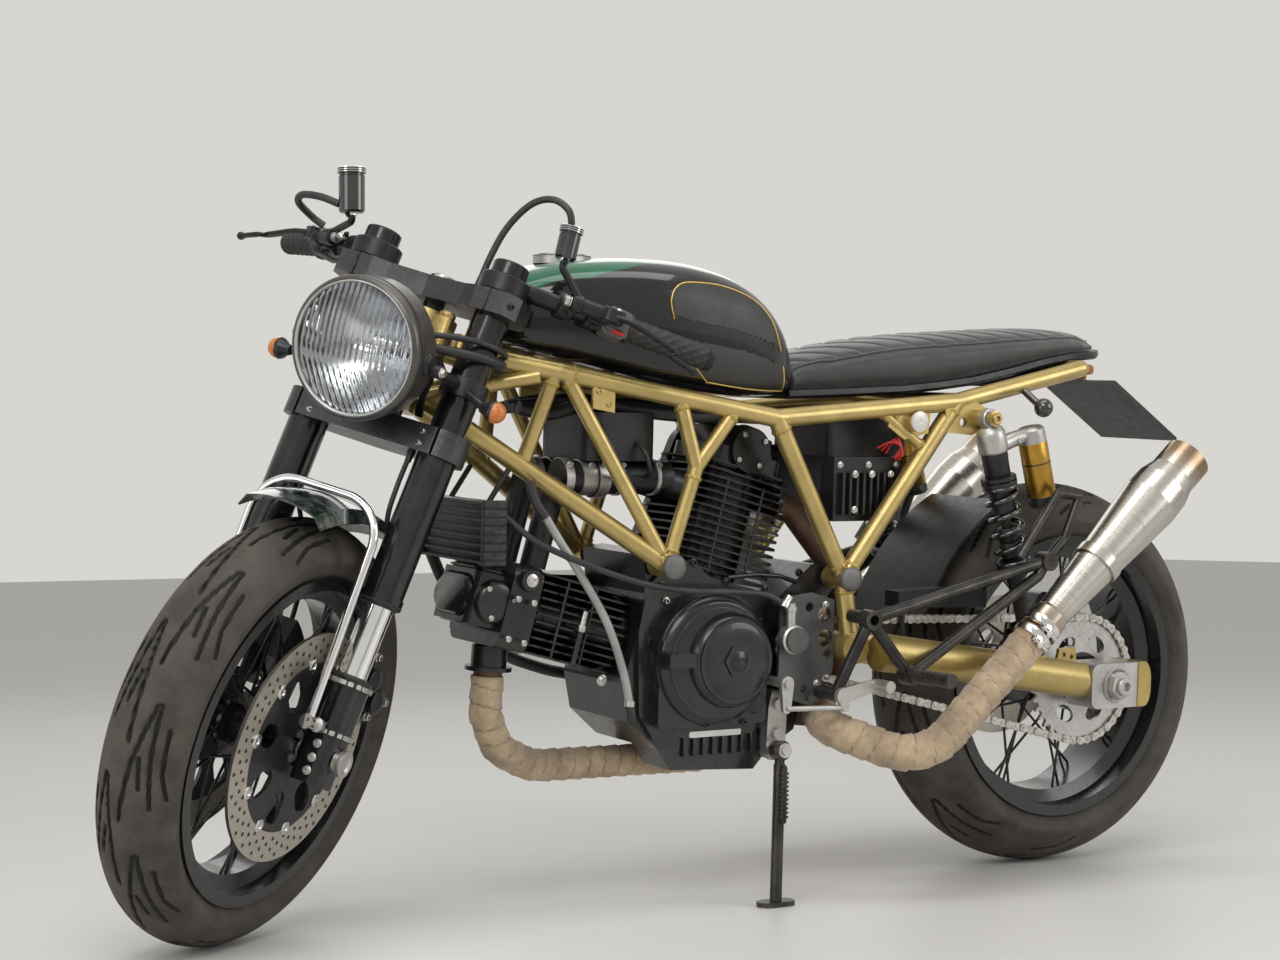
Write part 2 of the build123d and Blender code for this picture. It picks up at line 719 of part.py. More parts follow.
with BuildPart() as shock_reservoirs:
    for side in (1, -1):
        y = side * (shock_y + 2)
        rod((226, y, 702), (152, y, 714), 12)
        rod((153, y, 718), (142, y, 600), 24)
        shock_axis = Plane(
            origin=(shock_x, side * shock_y, shock_z), z_dir=(shock_foot - shock_top)
        )
        with BuildSketch(shock_axis.offset(5)):
            Circle(20 + seat_gap)
        extrude(amount=68, mode=Mode.SUBTRACT)
keep("root", "shock_reservoirs", shock_reservoirs.part)

# Fuel tank: rounded sections from seat to steering head, joined smoothly.
tank_sections = [
    # x, half width, floor, top, corner radius
    (590, 100, 766, 852, 30),
    (608, 110, 764, 884, 34),
    (640, 122, 763, 918, 40),
    (690, 130, 766, 945, 46),
    (760, 136, 774, 960, 52),
    (840, 133, 787, 963, 54),
    (915, 118, 802, 958, 52),
    (975, 100, 814, 948, 46),
    (1020, 78, 824, 932, 38),
    (1044, 58, 832, 916, 30),
    (1060, 38, 840, 900, 22),
    (1067, 22, 850, 886, 14),
]
cap_x = 930
with BuildPart() as tank:
    for x, half, floor, roof, corner in tank_sections:
        with BuildSketch(Plane(origin=(x, 0, (floor + roof) / 2), x_dir=(0, 1, 0), z_dir=(1, 0, 0))):
            RectangleRounded(2 * half, roof - floor, corner)
    loft()
    for side in (1, -1):
        rod((923, side * 50, 815), (923, side * 50, 795 + seat_gap), 11)
        rod((643, side * 50, 772), (643, side * 50, 746 + seat_gap), 10)
    hole((cap_x, 0, 950), (cap_x, 0, 990), 42 + seat_gap)
keep("root", "tank", tank.part)

with BuildPart() as fuel_cap:
    rod((cap_x, 0, 950 + seat_gap), (cap_x, 0, 962), 42)
    rod((cap_x, 0, 962), (cap_x, 0, 965), 34)
keep("root", "fuel_cap", fuel_cap.part)

# Seat: one long pad, rising to the rear.
with BuildPart() as seat:
    with BuildSketch(side_plane):
        with BuildLine():
            Line((584, 763), (584, 818))
            ThreePointArc((584, 818), (470, 832), (350, 864))
            ThreePointArc((350, 864), (200, 888), (40, 892))
            ThreePointArc((40, 892), (-60, 884), (-88, 846))
            Line((-88, 846), (-60, 838))
            Line((-60, 838), (30, 838))
            Line((30, 838), (291, 781))
            Line((291, 781), (584, 763))
        make_face()
    extrude(amount=118, both=True)
    with BuildSketch(Plane.XY.offset(700)):
        with BuildLine():
            Line((590, 96), (590, -96))
            ThreePointArc((590, -96), (300, -116), (40, -112))
            ThreePointArc((40, -112), (-90, 0), (40, 112))
            ThreePointArc((40, 112), (300, 116), (590, 96))
        make_face()
    extrude(amount=300, mode=Mode.INTERSECT)
keep("root", "seat", seat.part)

# Number plate holder under the seat's tail, with a slim lamp and the rear indicators.
with BuildPart() as tail_tray:
    with BuildSketch(side_plane):
        Polygon((120, 788), (70, 792), (-74, 797), (-218, 704), (-221, 709), (-76, 803), (70, 798), (120, 794),
                align=None)
    extrude(amount=90, both=True)
    with BuildSketch(side_plane.offset(-60)):
        Polygon((70, 798), (-30, 800), (-30, 837.5), (60, 831), align=None)
    extrude(amount=120)
    x, y, z = rail_tail
    hole((x, -y, z), (x, y, z), rail_radius + seat_gap)
keep("root", "tail_tray", tail_tray.part)

with BuildPart() as tail_lamp:
    with BuildSketch(Plane(origin=(-60, 0, 820), x_dir=(0, 1, 0), z_dir=(-1, 0, 0))):
        RectangleRounded(84, 20, 9)
    extrude(amount=14, taper=8)
    for y in (26, -26):
        rod((-66, y, 814), (-66, y, 803.1), 4)
keep("root", "tail_lamp", tail_lamp.part)

with BuildPart() as rear_indicators:
    for side in (1, -1):
        rod((159, side * 135, 782), (156, side * 168, 760), 6)
        with Locations((155, side * 176, 757)):
            Sphere(15)
keep("root", "rear_indicators", rear_indicators.part)

# Oil cooler with open fins.
cooler_x = 1086
with BuildPart() as oil_cooler:
    for side in (1, -1):
        with BuildSketch(Plane.XY.offset(524)):
            with Locations((cooler_x, side * 100)):
                Rectangle(34, 12)
        extrude(amount=90)
    for row in range(8):
        with BuildSketch(Plane.XY.offset(525 + row * 11.8)):
            with Locations((cooler_x, 0)):
                Rectangle(30, 196)
        extrude(amount=4)
    for side in (1, -1):
        rod((1079, side * 57.8, 600), (1042.5, side * 57.8, 654.3), 4)
keep("root", "oil_cooler", oil_cooler.part)

# Throttle bodies between the cylinders, with the air filter box behind them.
with BuildPart() as intakes:
    for side in (1, -1):
        rod((955, side * 44, 643), (770, side * 44, 643), 25)
        rod((900, side * 44, 643), (880, side * 44, 643), 29)
        rod((955, side * 44, 643), (940, side * 44, 643), 28)
        rear_neck = Vector(790, side * 44, 643)
        rod(rear_neck, rear_neck - Vector(0.966, 0, 0.259) * 55.4, 22)
        front_neck = Vector(958, side * 44, 643)
        rod(front_neck, front_neck + Vector(0.259, 0, -0.966) * 132.3, 19)
    with BuildSketch(Plane.XY.offset(668)):
        with Locations((862, 0)):
            RectangleRounded(120, 150, 24)
    extrude(amount=70)
keep("root", "intakes", intakes.part)

# Battery tray with the finned regulator on the left and a control box on the right.
with BuildPart() as electrics:
    with BuildSketch(Plane.XY.offset(676)):
        with Locations((420, 0)):
            RectangleRounded(150, 150, 8)
    extrude(amount=62)
    for side, low in ((1, 578), (-1, 590)):
        with BuildSketch(Plane(origin=(440, side * 62, low), x_dir=(1, 0, 0), z_dir=(0, 0, 1))):
            with Locations((0, side * 24)):
                Rectangle(130, 34)
        extrude(amount=98)
    for row in range(9):
        with BuildSketch(Plane.XY.offset(588)):
            with Locations((388 + row * 13, 107)):
                Rectangle(4, 10)
        extrude(amount=64)
    rod((427.6, 104, 589), (427.6, 113.7, 589), 5)
keep("root", "electrics", electrics.part)

# Exhaust: a header from each head to a collector box behind the engine.
header_radius = 21
pipe_radius = 25
collector = Vector(492, 0, 290)
with BuildPart() as headers:
    start = front_port + front_port_way * (36 + seat_gap)
    bend([start, start + front_port_way * 62, (1012, -14, 246), (940, -40, 212), (640, -48, 206), (560, -44, 216),
          (500, -40, 262)], [26, 58, 90, 60, 26], header_radius)
    start = rear_port + rear_port_way * (42 + seat_gap)
    bend([start, start + rear_port_way * 34, (452, 40, 500), (438, 38, 440), (438, 36, 340), (462, 36, 305)],
         [26, 30, 40, 20], header_radius)
    with BuildSketch(Plane.XY.offset(collector.Z - 28)):
        with Locations((collector.X, 0)):
            RectangleRounded(76, 140, 20)
    extrude(amount=56)
keep("root", "headers", headers.part)

# Wrapped link pipes from the collector out to each silencer, along the silencer's own line.
silencer_start = Vector(211, 240, 413)
silencer_end = Vector(-96, 240, 682)
silencer_way = (silencer_end - silencer_start).normalized()
silencer_length = (silencer_end - silencer_start).length
link_corner = silencer_start - silencer_way * 285
with BuildPart() as link_pipes:
    for side in (1, -1):
        end = silencer_start - silencer_way * seat_gap
        route = [(collector.X + 6, 70 + seat_gap, 288), (540, 150, 272), tuple(link_corner), tuple(end)]
        bend([(x, side * y, z) for x, y, z in route], [42, 90], pipe_radius)
    with BuildSketch(Plane.XY.offset(collector.Z - 80)):
        with Locations((collector.X, 0)):
            Rectangle(200, 140 + 2 * seat_gap)
    extrude(amount=160, mode=Mode.SUBTRACT)
keep("root", "link_pipes", link_pipes.part)

silencer_profile = [
    # along, radius
    (0, 29), (36, 29), (42, 26), (300, 47), (336, 45), (362, 38), (silencer_length, 38), (silencer_length, 33),
    (330, 30),
]
with BuildPart() as silencers:
    for side in (1, -1):
        origin = Vector(silencer_start.X, side * silencer_start.Y, silencer_start.Z)
        with BuildSketch(Plane(origin=origin, x_dir=silencer_way, z_dir=(0, 1, 0))):
            Polygon((0, 0), *silencer_profile, (330, 0), align=None)
        revolve(axis=Axis(origin, silencer_way))
        strap = origin + silencer_way * 158
        rod(strap - silencer_way * 9, strap + silencer_way * 9, 39)
        rod((strap.X + 22, side * 222, strap.Z - 8), (strap.X + 34, side * 222, strap.Z - 26), 7)
keep("root", "silencers", silencers.part)

# Rearset frames with rider pegs, passenger pegs and their loops, outboard of the swingarm.
rearset_y = swingarm_y + swingarm_radius + 12
rear_boss = (508, rearset_y, 439)
upper_boss = (166, rearset_y, 519)
lower_boss = (432, rearset_y, 353)
front_boss = (541, 170, 325)
rearset_tubes = [
    (rear_boss, upper_boss, 9),
    ((410, rearset_y, 365), (182, rearset_y, 496), 9),
    (rear_boss, lower_boss, 9),
    (rear_boss, front_boss, 9),
    ((220, rearset_y, 525), (146, rearset_y, 624), 7),
    ((146, rearset_y, 624), (102, rearset_y, 619), 7),
    ((102, rearset_y, 619), (130, rearset_y, 553), 8),
    ((130, rearset_y, 553), upper_boss, 8),
    ((410, rearset_y, 365), lower_boss, 9),
    ((182, rearset_y, 496), upper_boss, 9),
]
with BuildPart() as rearsets:
    for start, end, radius in rearset_tubes:
        rod(start, end, radius)
    for x, y, z in (rear_boss, upper_boss, lower_boss):
        rod((x, y - 11, z), (x, y + 12, z), 15)
    for point in ((146, rearset_y, 624), (102, rearset_y, 619)):
        with Locations(point):
            Sphere(7)
    x, y, z = front_boss
    rod((x, cover_face + 5 + seat_gap, z), (x, y + 14, z), 11)
    x, y, z = rear_boss
    rod((x - 8, 150, z), (x - 8, y - 11, z), 10)
    x, y, z = lower_boss
    rod((x, y + 12, z), (x - 6, y + 96, z + 2), 11)
    mirror(about=Plane.XZ)
    for side in (1, -1):
        x, y, z = rear_boss
        hole((x, side * (y - 4), z), (x, side * (y + 14), z), 8)
keep("root", "rearsets", rearsets.part)

# Foot levers on both sides; the left one works the shift arm through a link rod.
with BuildPart() as foot_controls:
    x, y, z = front_boss
    pivot_y = y + 14 + seat_gap
    with BuildSketch(side_plane.offset(-pivot_y)):
        with Locations((x, z)):
            Circle(12)
        with Locations((479, 339)):
            Circle(8)
        make_hull()
    extrude(amount=-8)
    rod((479, pivot_y + 8, 339), (479, pivot_y + 40, 339), 9)
    with BuildSketch(side_plane.offset(-pivot_y)):
        with Locations((x, z)):
            Circle(10)
        with Locations((x - 4, z - 18)):
            Circle(6)
        make_hull()
    extrude(amount=-8)
    mirror(about=Plane.XZ)
    rod((x - 4, pivot_y + 4, z - 18), (630, 172, 308), 4)
    with BuildSketch(side_plane.offset(-166)):
        with Locations((630, 345)):
            Circle(11)
        with Locations((630, 308)):
            Circle(7)
        make_hull()
    extrude(amount=-7)
    rod((630, case_half + 28, 345), (630, 178, 345), 7)
keep("root", "foot_controls", foot_controls.part)

# Hoses held at both ends: two from the cooler, the breather and the clutch line.
with BuildPart() as hoses:
    bend([(cooler_x, -106 - seat_gap, 548), (cooler_x, -130, 548), (980, -132, 380), (812, -132, 330),
          (812, -case_half - seat_gap, 330)], [16, 60, 20], 9)
    bend([(1010, 102, 640), (1002, 102, 560), (900, 102, 420), (872, 112, 330), (852, 112, 300),
          (852, 87 + seat_gap, 300)], [60, 60, 20, 10], 7)
    bend([(1040, 92, 560), (940, 130, 510), (820, 137, 490), (730, 137, 484), (640, 137, 476),
          (slave_x + 10.5, cover_face + 16, slave_z + 50)], [60, 60, 60, 14], 5)
keep("root", "hoses", hoses.part)

# Rear mudguard sheet over the front of the tyre, and the guard over the chain.
hugger_radius = rear_tyre_radius + 12
with BuildPart() as hugger:
    with BuildSketch(side_plane):
        with BuildLine():
            outer = CenterArc((0, rear_tyre_radius), hugger_radius + 4, 18, 44)
            inner = CenterArc((0, rear_tyre_radius), hugger_radius, 18, 44)
            Line(outer @ 0, inner @ 0)
            Line(outer @ 1, inner @ 1)
        make_face()
    extrude(amount=92, both=True)
    with BuildSketch(side_plane.offset(-92)):
        Polygon((392, 446), (392, 470), (300, 474), (216, 466), (216, 440), align=None)
    extrude(amount=-34)
    with BuildSketch(side_plane.offset(-92)):
        Polygon((389, 443), (389, 467), (300, 471), (219, 463), (219, 437), align=None)
    extrude(amount=-30, mode=Mode.SUBTRACT)
    rod((381, 123, 452), (381, 123, 395.4), 4)
keep("root", "hugger", hugger.part)

# Steered pieces, drawn in the steering frame.
steer_place = steering_plane.location
foot_low = axle_rise - 40
foot_high = axle_rise + 109
tube_low = axle_rise + 216
lower_clamp_z = axle_rise + lower_clamp_height
upper_clamp_z = axle_rise + upper_clamp_height
upper_clamp_top = upper_clamp_z + upper_clamp_thickness
tube_top = upper_clamp_top + 46


def fork_pair(low, high, radius, bore=0):
    """Add the same tube to both fork legs."""
    for side in (1, -1):
        rod((fork_offset, side * leg_y, low), (fork_offset, side * leg_y, high), radius, bore)


def fork_bores(low, high, radius):
    """Cut the bore for a fork tube on both sides."""
    for side in (1, -1):
        hole((fork_offset, side * leg_y, low), (fork_offset, side * leg_y, high), radius)


with BuildPart() as lower_clamp:
    with BuildSketch(Plane.XY.offset(lower_clamp_z)):
        for side in (1, -1):
            with Locations((fork_offset, side * leg_y)):
                Circle(fork_tube_radius + 12)
            with Locations((2, 0)):
                Circle(32)
        make_hull()
        with Locations((-50, 0)):
            Rectangle(44, 120, mode=Mode.SUBTRACT)
    extrude(amount=lower_clamp_thickness)
    rod((0, 0, lower_clamp_z), (0, 0, upper_clamp_top + 4), stem_radius)
    fork_bores(lower_clamp_z, lower_clamp_z + lower_clamp_thickness, fork_tube_radius + running_gap)
    for side in (1, -1):
        with BuildSketch(Plane.XY.offset(lower_clamp_z)):
            with Locations((fork_offset + 34, side * (leg_y + 6))):
                Rectangle(26, 4, mode=Mode.ADD)
        extrude(amount=lower_clamp_thickness, mode=Mode.SUBTRACT)
keep("steering", "lower_clamp", lower_clamp.part, steer_place)

with BuildPart() as upper_clamp:
    with BuildSketch(Plane.XY.offset(upper_clamp_z)):
        Polygon(
            (62, 134), (62, 84), (50, 60), (44, 0), (50, -60), (62, -84), (62, -134), (40, -148), (4, -148),
            (-12, -134), (-12, -88), (-26, -48), (-27, 0), (-26, 48), (-12, 88), (-12, 134), (4, 148), (40, 148),
            align=None,
        )
    extrude(amount=upper_clamp_thickness)
    fork_bores(upper_clamp_z, upper_clamp_top, fork_tube_radius + running_gap)
    hole((0, 0, upper_clamp_z), (0, 0, upper_clamp_top), stem_radius + running_gap)
keep("steering", "upper_clamp", upper_clamp.part, steer_place)

# Fork legs: black tubes above, axle feet below, bright stanchions between.
with BuildPart() as fork_legs:
    fork_pair(tube_low, tube_top, fork_tube_radius)
    fork_pair(tube_low, lower_clamp_z - seat_gap, fork_outer_radius)
    fork_pair(tube_low, tube_low + 14, fork_outer_radius + 2)
    for side in (1, -1):
        with BuildSketch(Plane.XY.offset(foot_low)):
            with Locations((fork_offset, side * (leg_y + 1))):
                RectangleRounded(58, 52, 20)
        extrude(amount=foot_high - foot_low)
        for band in (foot_high - 12, axle_rise + 28):
            with BuildSketch(Plane.XY.offset(band)):
                with Locations((fork_offset, side * (leg_y + 1))):
                    RectangleRounded(64, 58, 22)
            extrude(amount=9)
        rod((fork_offset, side * leg_y, axle_rise + 36), (fork_offset + 43, side * leg_y, axle_rise + 36), 9)
        for rise, reach in ((68, 78), (98, 37.3)):
            rod((fork_offset, side * (leg_y - 8), axle_rise + rise),
                (fork_offset - reach, side * (leg_y - 8), axle_rise + rise), 9)
    hole((fork_offset, -leg_y - 40, axle_rise), (fork_offset, leg_y + 40, axle_rise), axle_radius + running_gap)
keep("steering", "fork_legs", fork_legs.part, steer_place)

with BuildPart() as stanchions:
    fork_pair(foot_high + seat_gap, tube_low - seat_gap, stanchion_radius)
keep("steering", "stanchions", stanchions.part, steer_place)

spindle_end = leg_y + 27 + 6
with BuildPart() as front_spindle:
    rod((fork_offset, -spindle_end, axle_rise), (fork_offset, spindle_end, axle_rise), axle_radius)
    for side in (1, -1):
        rod((fork_offset, side * (leg_y + 27 + seat_gap), axle_rise), (fork_offset, side * spindle_end, axle_rise), 18)
        rod((fork_offset, side * (front_disc_offset + 8), axle_rise),
            (fork_offset, side * (leg_y - 25 - seat_gap), axle_rise), 18)
    hole((fork_offset, -spindle_end, axle_rise), (fork_offset, spindle_end, axle_rise), front_axle_bore)
keep("steering", "front_spindle", front_spindle.part, steer_place)

# Front calipers: blocks curved round the disc's edge, behind each fork foot.
caliper_inner, caliper_outer = 110, 174
caliper_from, caliper_sweep = 110, 36
with BuildPart() as calipers:
    for side in (1, -1):
        with BuildSketch(Plane.XZ.offset(-side * front_disc_offset)):
            with BuildLine():
                outer = CenterArc((fork_offset, axle_rise), caliper_outer, caliper_from, caliper_sweep)
                inner = CenterArc((fork_offset, axle_rise), caliper_inner, caliper_from, caliper_sweep)
                Line(outer @ 0, inner @ 0)
                Line(outer @ 1, inner @ 1)
            make_face()
        extrude(amount=31, both=True)
        with BuildSketch(Plane.XZ.offset(-side * front_disc_offset)):
            with Locations((fork_offset, axle_rise)):
                Circle(front_disc_radius + 6)
        extrude(amount=disc_thickness / 2 + 5.5, both=True, mode=Mode.SUBTRACT)
        for piston in (caliper_from + 10, caliper_from + 26):
            px = fork_offset + 138 * cos(radians(piston))
            pz = axle_rise + 138 * sin(radians(piston))
            rod((px, side * (front_disc_offset + 30), pz), (px, side * (front_disc_offset + 38), pz), 17)
keep("steering", "calipers", calipers.part, steer_place)

# Round headlamp: a spun shell with a lens, held by arms on the fork tubes.
lamp_plane = Plane(origin=(156, 0, 836), x_dir=(0, 1, 0), z_dir=(cos(rake), 0, -sin(rake)))
lamp_place = steer_place * lamp_plane.location
lamp_radius = 97


def dome_middle(edge, edge_z, pole_z):
    """A point halfway out on a round dome centred on the axis."""
    rise = pole_z - edge_z
    ball = (edge**2 + rise**2) / (2 * rise)
    drop = abs(ball) - sqrt(ball**2 - (edge / 2) ** 2)
    return (edge / 2, pole_z - drop if rise > 0 else pole_z + drop)


back_edge, back_z, back_pole = lamp_radius - 2, -46, -104
with BuildPart() as lamp_shell:
    with BuildSketch(Plane.XZ):
        with BuildLine():
            Line((89, -6), (89, 6))
            Line((89, 6), (lamp_radius, 4))
            Line((lamp_radius, 4), (back_edge, back_z))
            ThreePointArc((back_edge, back_z), dome_middle(back_edge, back_z, back_pole), (0, back_pole))
            Line((0, back_pole), (0, back_pole + 4))
            ThreePointArc(
                (0, back_pole + 4), dome_middle(back_edge - 4, back_z, back_pole + 4), (back_edge - 4, back_z)
            )
            Line((back_edge - 4, back_z), (89, -6))
        make_face()
    revolve(axis=Axis.Z)
keep("steering", "lamp_shell", lamp_shell.part, lamp_place)

with BuildPart() as lamp_glass:
    with BuildSketch(Plane.XZ):
        with BuildLine():
            Line((0, -4), (88.7, -4))
            Line((88.7, -4), (88.7, 5))
            ThreePointArc((88.7, 5), dome_middle(88.7, 5, 18), (0, 18))
            Line((0, 18), (0, -4))
        make_face()
    revolve(axis=Axis.Z)
keep("steering", "lamp_glass", lamp_glass.part, lamp_place)

bracket_low, bracket_high = 834, 860
with BuildPart() as lamp_brackets:
    fork_pair(bracket_low, bracket_high, fork_tube_radius + 7)
    for side in (1, -1):
        rod((fork_offset + 24, side * leg_y, 848), (122, side * (lamp_radius + 10), 842), 8)
        rod((122, side * (lamp_radius + 18), 842), (122, side * (lamp_radius - 1), 842), 9)
        rod((fork_offset + 24, side * (leg_y + 20), 840), (50, side * 160, 826), 6)
    with BuildSketch(Plane.XY.offset(876)):
        with Locations((50, 53), (50, -53)):
            RectangleRounded(28, 26, 5)
    extrude(amount=54)
    for side in (1, -1):
        rod((fork_offset + 10, side * (leg_y - 24), 850), (50, side * 53, 884), 6)
    fork_bores(bracket_low - 2, bracket_high + 2, fork_tube_radius + running_gap)
keep("steering", "lamp_brackets", lamp_brackets.part, steer_place)

with BuildPart() as front_indicators:
    for side in (1, -1):
        with Locations((52, side * 176, 825)):
            Sphere(15)
keep("steering", "front_indicators", front_indicators.part, steer_place)

# Clip-on handlebars with their clamps, levers, master cylinders and reservoirs.
bar_radius = 11
bar_start = Vector(fork_offset - 16, leg_y + 22, upper_clamp_top + 22)
bar_end = Vector(-156, 350, upper_clamp_top + 38)
bar_run = (bar_end - bar_start).normalized()
grip_length = 126
perch = bar_end - bar_run * 168
lever_tip = Vector(-106, 366, bar_end.Z - 36)
reservoirs = {1: Vector(18, 170, 1086), -1: Vector(47, -164, 1064)}
with BuildPart() as handlebars:
    for side in (1, -1):
        flip = Vector(1, side, 1)
        mirrored = [Vector(point.X, side * point.Y, point.Z) for point in (bar_start, bar_end, perch, lever_tip)]
        start, end, clamp, tip = mirrored
        run = (end - start).normalized()
        rod((fork_offset, side * leg_y, upper_clamp_top + seat_gap),
            (fork_offset, side * leg_y, upper_clamp_top + 40), fork_tube_radius + 10)
        rod(start, end, bar_radius)
        rod(clamp - run * 18, clamp + run * 12, 18)
        rod(clamp - run * 60, clamp - run * 30, 17)
        body_start = clamp + Vector(30, -side * 14, 2)
        rod(body_start - run * 44, body_start + run * 14, 11)
        rod(clamp, body_start, 9)
        rod(body_start + run * 14, body_start + run * 30 + Vector(10, 0, -2), 7)
        rod(body_start + run * 26 + Vector(8, 0, -2), tip, 6)
        with Locations(tuple(tip)):
            Sphere(8)
        cup = reservoirs[side]
        rod(cup - Vector(0, 0, 21), cup + Vector(0, 0, 21), 15)
        rod(cup + Vector(0, 0, 13), cup + Vector(0, 0, 17), 17)
        rod(cup - Vector(0, 0, 18), body_start - run * 30, 6)
    fork_bores(upper_clamp_top - 1, tube_top + 10, fork_tube_radius + running_gap)
keep("steering", "handlebars", handlebars.part, steer_place)

with BuildPart() as grips:
    rod(bar_end - bar_run * (grip_length - 4), bar_end + bar_run * 4, 17, bar_radius + running_gap)
    rod(bar_end - bar_run * (grip_length - 4), bar_end - bar_run * (grip_length - 10), 21, bar_radius + running_gap)
    mirror(about=Plane.XZ)
keep("steering", "grips", grips.part, steer_place)

# Brake lines and the clutch line, each held at both ends by the steered pieces.
with BuildPart() as steer_hoses:
    for side in (1, -1):
        bend([(36, side * 71, lower_clamp_z - seat_gap), (36, side * 71, 620), (-70, side * 71, 560),
              (-84, side * 71, 456.5)], [60, 50], 3.5)
    bend([(14, 62, upper_clamp_top + seat_gap), (14, 62, 1110), (44, 110, 1156), (20, 172, 1146), (20, 172, 1108)],
         [60, 30, 20], 5)
    bend([(68, -146, 1052), (96, -90, 1066), (80, -24, 1050), (30, -20, 1040), (30, -20, upper_clamp_top + seat_gap)],
         [34, 24, 18], 5)
keep("steering", "steer_hoses", steer_hoses.part, steer_place)

# Mudguard over the front tyre and its bright tube stay.
guard_radius = front_tyre_radius + 32
guard_from, guard_sweep = 60, 50
stay_y = 98
with BuildPart() as mudguard:
    with BuildSketch(Plane.XY):
        with BuildLine():
            Line((guard_radius - 22, -64), (guard_radius - 6, -52))
            ThreePointArc((guard_radius - 6, -52), (guard_radius + 3, 0), (guard_radius - 6, 52))
            Line((guard_radius - 6, 52), (guard_radius - 22, 64))
            Line((guard_radius - 22, 64), (guard_radius - 20, 66))
            Line((guard_radius - 20, 66), (guard_radius - 3, 54))
            ThreePointArc((guard_radius - 3, 54), (guard_radius + 6, 0), (guard_radius - 3, -54))
            Line((guard_radius - 3, -54), (guard_radius - 20, -66))
            Line((guard_radius - 20, -66), (guard_radius - 22, -64))
        make_face()
    revolve(axis=Axis.Y, revolution_arc=guard_sweep)
keep("steering", "mudguard", mudguard.part,
     steer_place * Location((fork_offset, 0, axle_rise), (0, -guard_from - guard_sweep, 0)))

with BuildPart() as guard_stay:
    stay_top = axle_rise + sqrt((guard_radius + 12 + seat_gap) ** 2 - (96 - fork_offset) ** 2)
    bend([(78, stay_y, 351), (96, stay_y, stay_top), (96, -stay_y, stay_top), (78, -stay_y, 351)], [60, 60], 6)
    for side in (1, -1):
        rod((fork_offset + 43 + seat_gap, side * stay_y, 351), (86, side * stay_y, 351), 10)
keep("steering", "guard_stay", guard_stay.part, steer_place)

# Parked stance: steer to the stop, pitch until both tyres touch, then lean.
steered = steering_plane.location * Location((0, 0, 0), (0, 0, steering_lock)) * steering_plane.location.inverse()
lean = Location((0, 0, 0), (-lean_angle, 0, 0))


def tyre_bottom(place, radius, crown):
    """Lowest height of a tyre whose tread is an arc about its ring."""
    centre = (place * Location((0, 0, 0))).position
    axle = (place * Location((0, 0, 1))).position - centre
    return centre.Z - (radius - crown) * sqrt(1 - axle.Z**2) - crown


pitch = 0
for _ in range(6):
    stance = lean * Location((0, 0, 0), (0, pitch, 0))
    rear_low = tyre_bottom(stance * rear_wheel_place, rear_tyre_radius, rear_crown_radius)
    front_low = tyre_bottom(stance * steered * front_wheel_place, front_tyre_radius, front_crown_radius)
    pitch += degrees((front_low - rear_low) / wheelbase)
stance = Location((0, 0, -rear_low)) * stance
upright = stance.inverse()

# Side stand: an eye on the bracket's pin, a leg, and a foot that lies flat on the ground.
stand_pivot = Vector(606, 124, 238)
stand_foot = (upright * Location((626, 152, 0))).position
ground_up = (upright * Location((0, 0, 1))).position - (upright * Location((0, 0, 0))).position
folded_way = Vector(-cos(radians(stand_fold_drop)), 0.08, -sin(radians(stand_fold_drop))).normalized()
stand_way = (stand_foot - stand_pivot).normalized()
stand_axis = stand_way.cross(folded_way).normalized()
stand_swing = degrees(atan2(stand_way.cross(folded_way).length, stand_way.dot(folded_way)))
eye_half = 8
pin_radius = 7
with BuildPart() as stand_leg:
    rod(stand_pivot - stand_axis * eye_half, stand_pivot + stand_axis * eye_half, 15)
    rod(stand_pivot + stand_way * 8, stand_pivot + stand_way * 24, 7.5)
    rod(stand_pivot + stand_way * 20, stand_foot + ground_up * 5, 9)
    with BuildSketch(Plane(origin=stand_foot, x_dir=(1, 0, 0), z_dir=ground_up)):
        SlotOverall(62, 36)
    extrude(amount=7)
    spring_start = stand_pivot + stand_axis * 13 + stand_way * 26
    spring_end = stand_pivot + stand_axis * 14 + stand_way * 104
    rod(spring_start, spring_end, 5)
    spring_run = (spring_end - spring_start).normalized()
    for coil in range(11):
        rod(spring_start + spring_run * (6 + coil * 6.4), spring_start + spring_run * (9.4 + coil * 6.4), 7.5)
    for peg in (spring_start, spring_end):
        rod(peg - stand_axis * 12, peg + stand_axis * 3, 4)
    hole(stand_pivot - stand_axis * 20, stand_pivot + stand_axis * 40, pin_radius + running_gap)
keep("side_stand", "stand_leg", stand_leg.part)

with BuildPart() as stand_bracket:
    bracket_face = case_half - 8 + seat_gap
    with BuildSketch(side_plane.offset(-bracket_face)):
        Polygon((596, 326), (584, 300), (586, 240), (594, 224), (616, 224), (620, 240), (618, 300), (612, 326),
                align=None)
    extrude(amount=-21)
    rod(stand_pivot - stand_axis * 26, stand_pivot - stand_axis * (eye_half + seat_gap), 15)
    rod(stand_pivot - stand_axis * 26, stand_pivot + stand_axis * (eye_half + 10), pin_radius)
    rod(stand_pivot + stand_axis * (eye_half + seat_gap), stand_pivot + stand_axis * (eye_half + 8), 11)
    with BuildSketch(side_plane):
        Rectangle(3000, 3000)
    extrude(amount=-bracket_face, mode=Mode.SUBTRACT)
    for z in (306, 262):
        rod((603, case_half + 12, z), (603, case_half + 20, z), 8)
keep("root", "stand_bracket", stand_bracket.part)

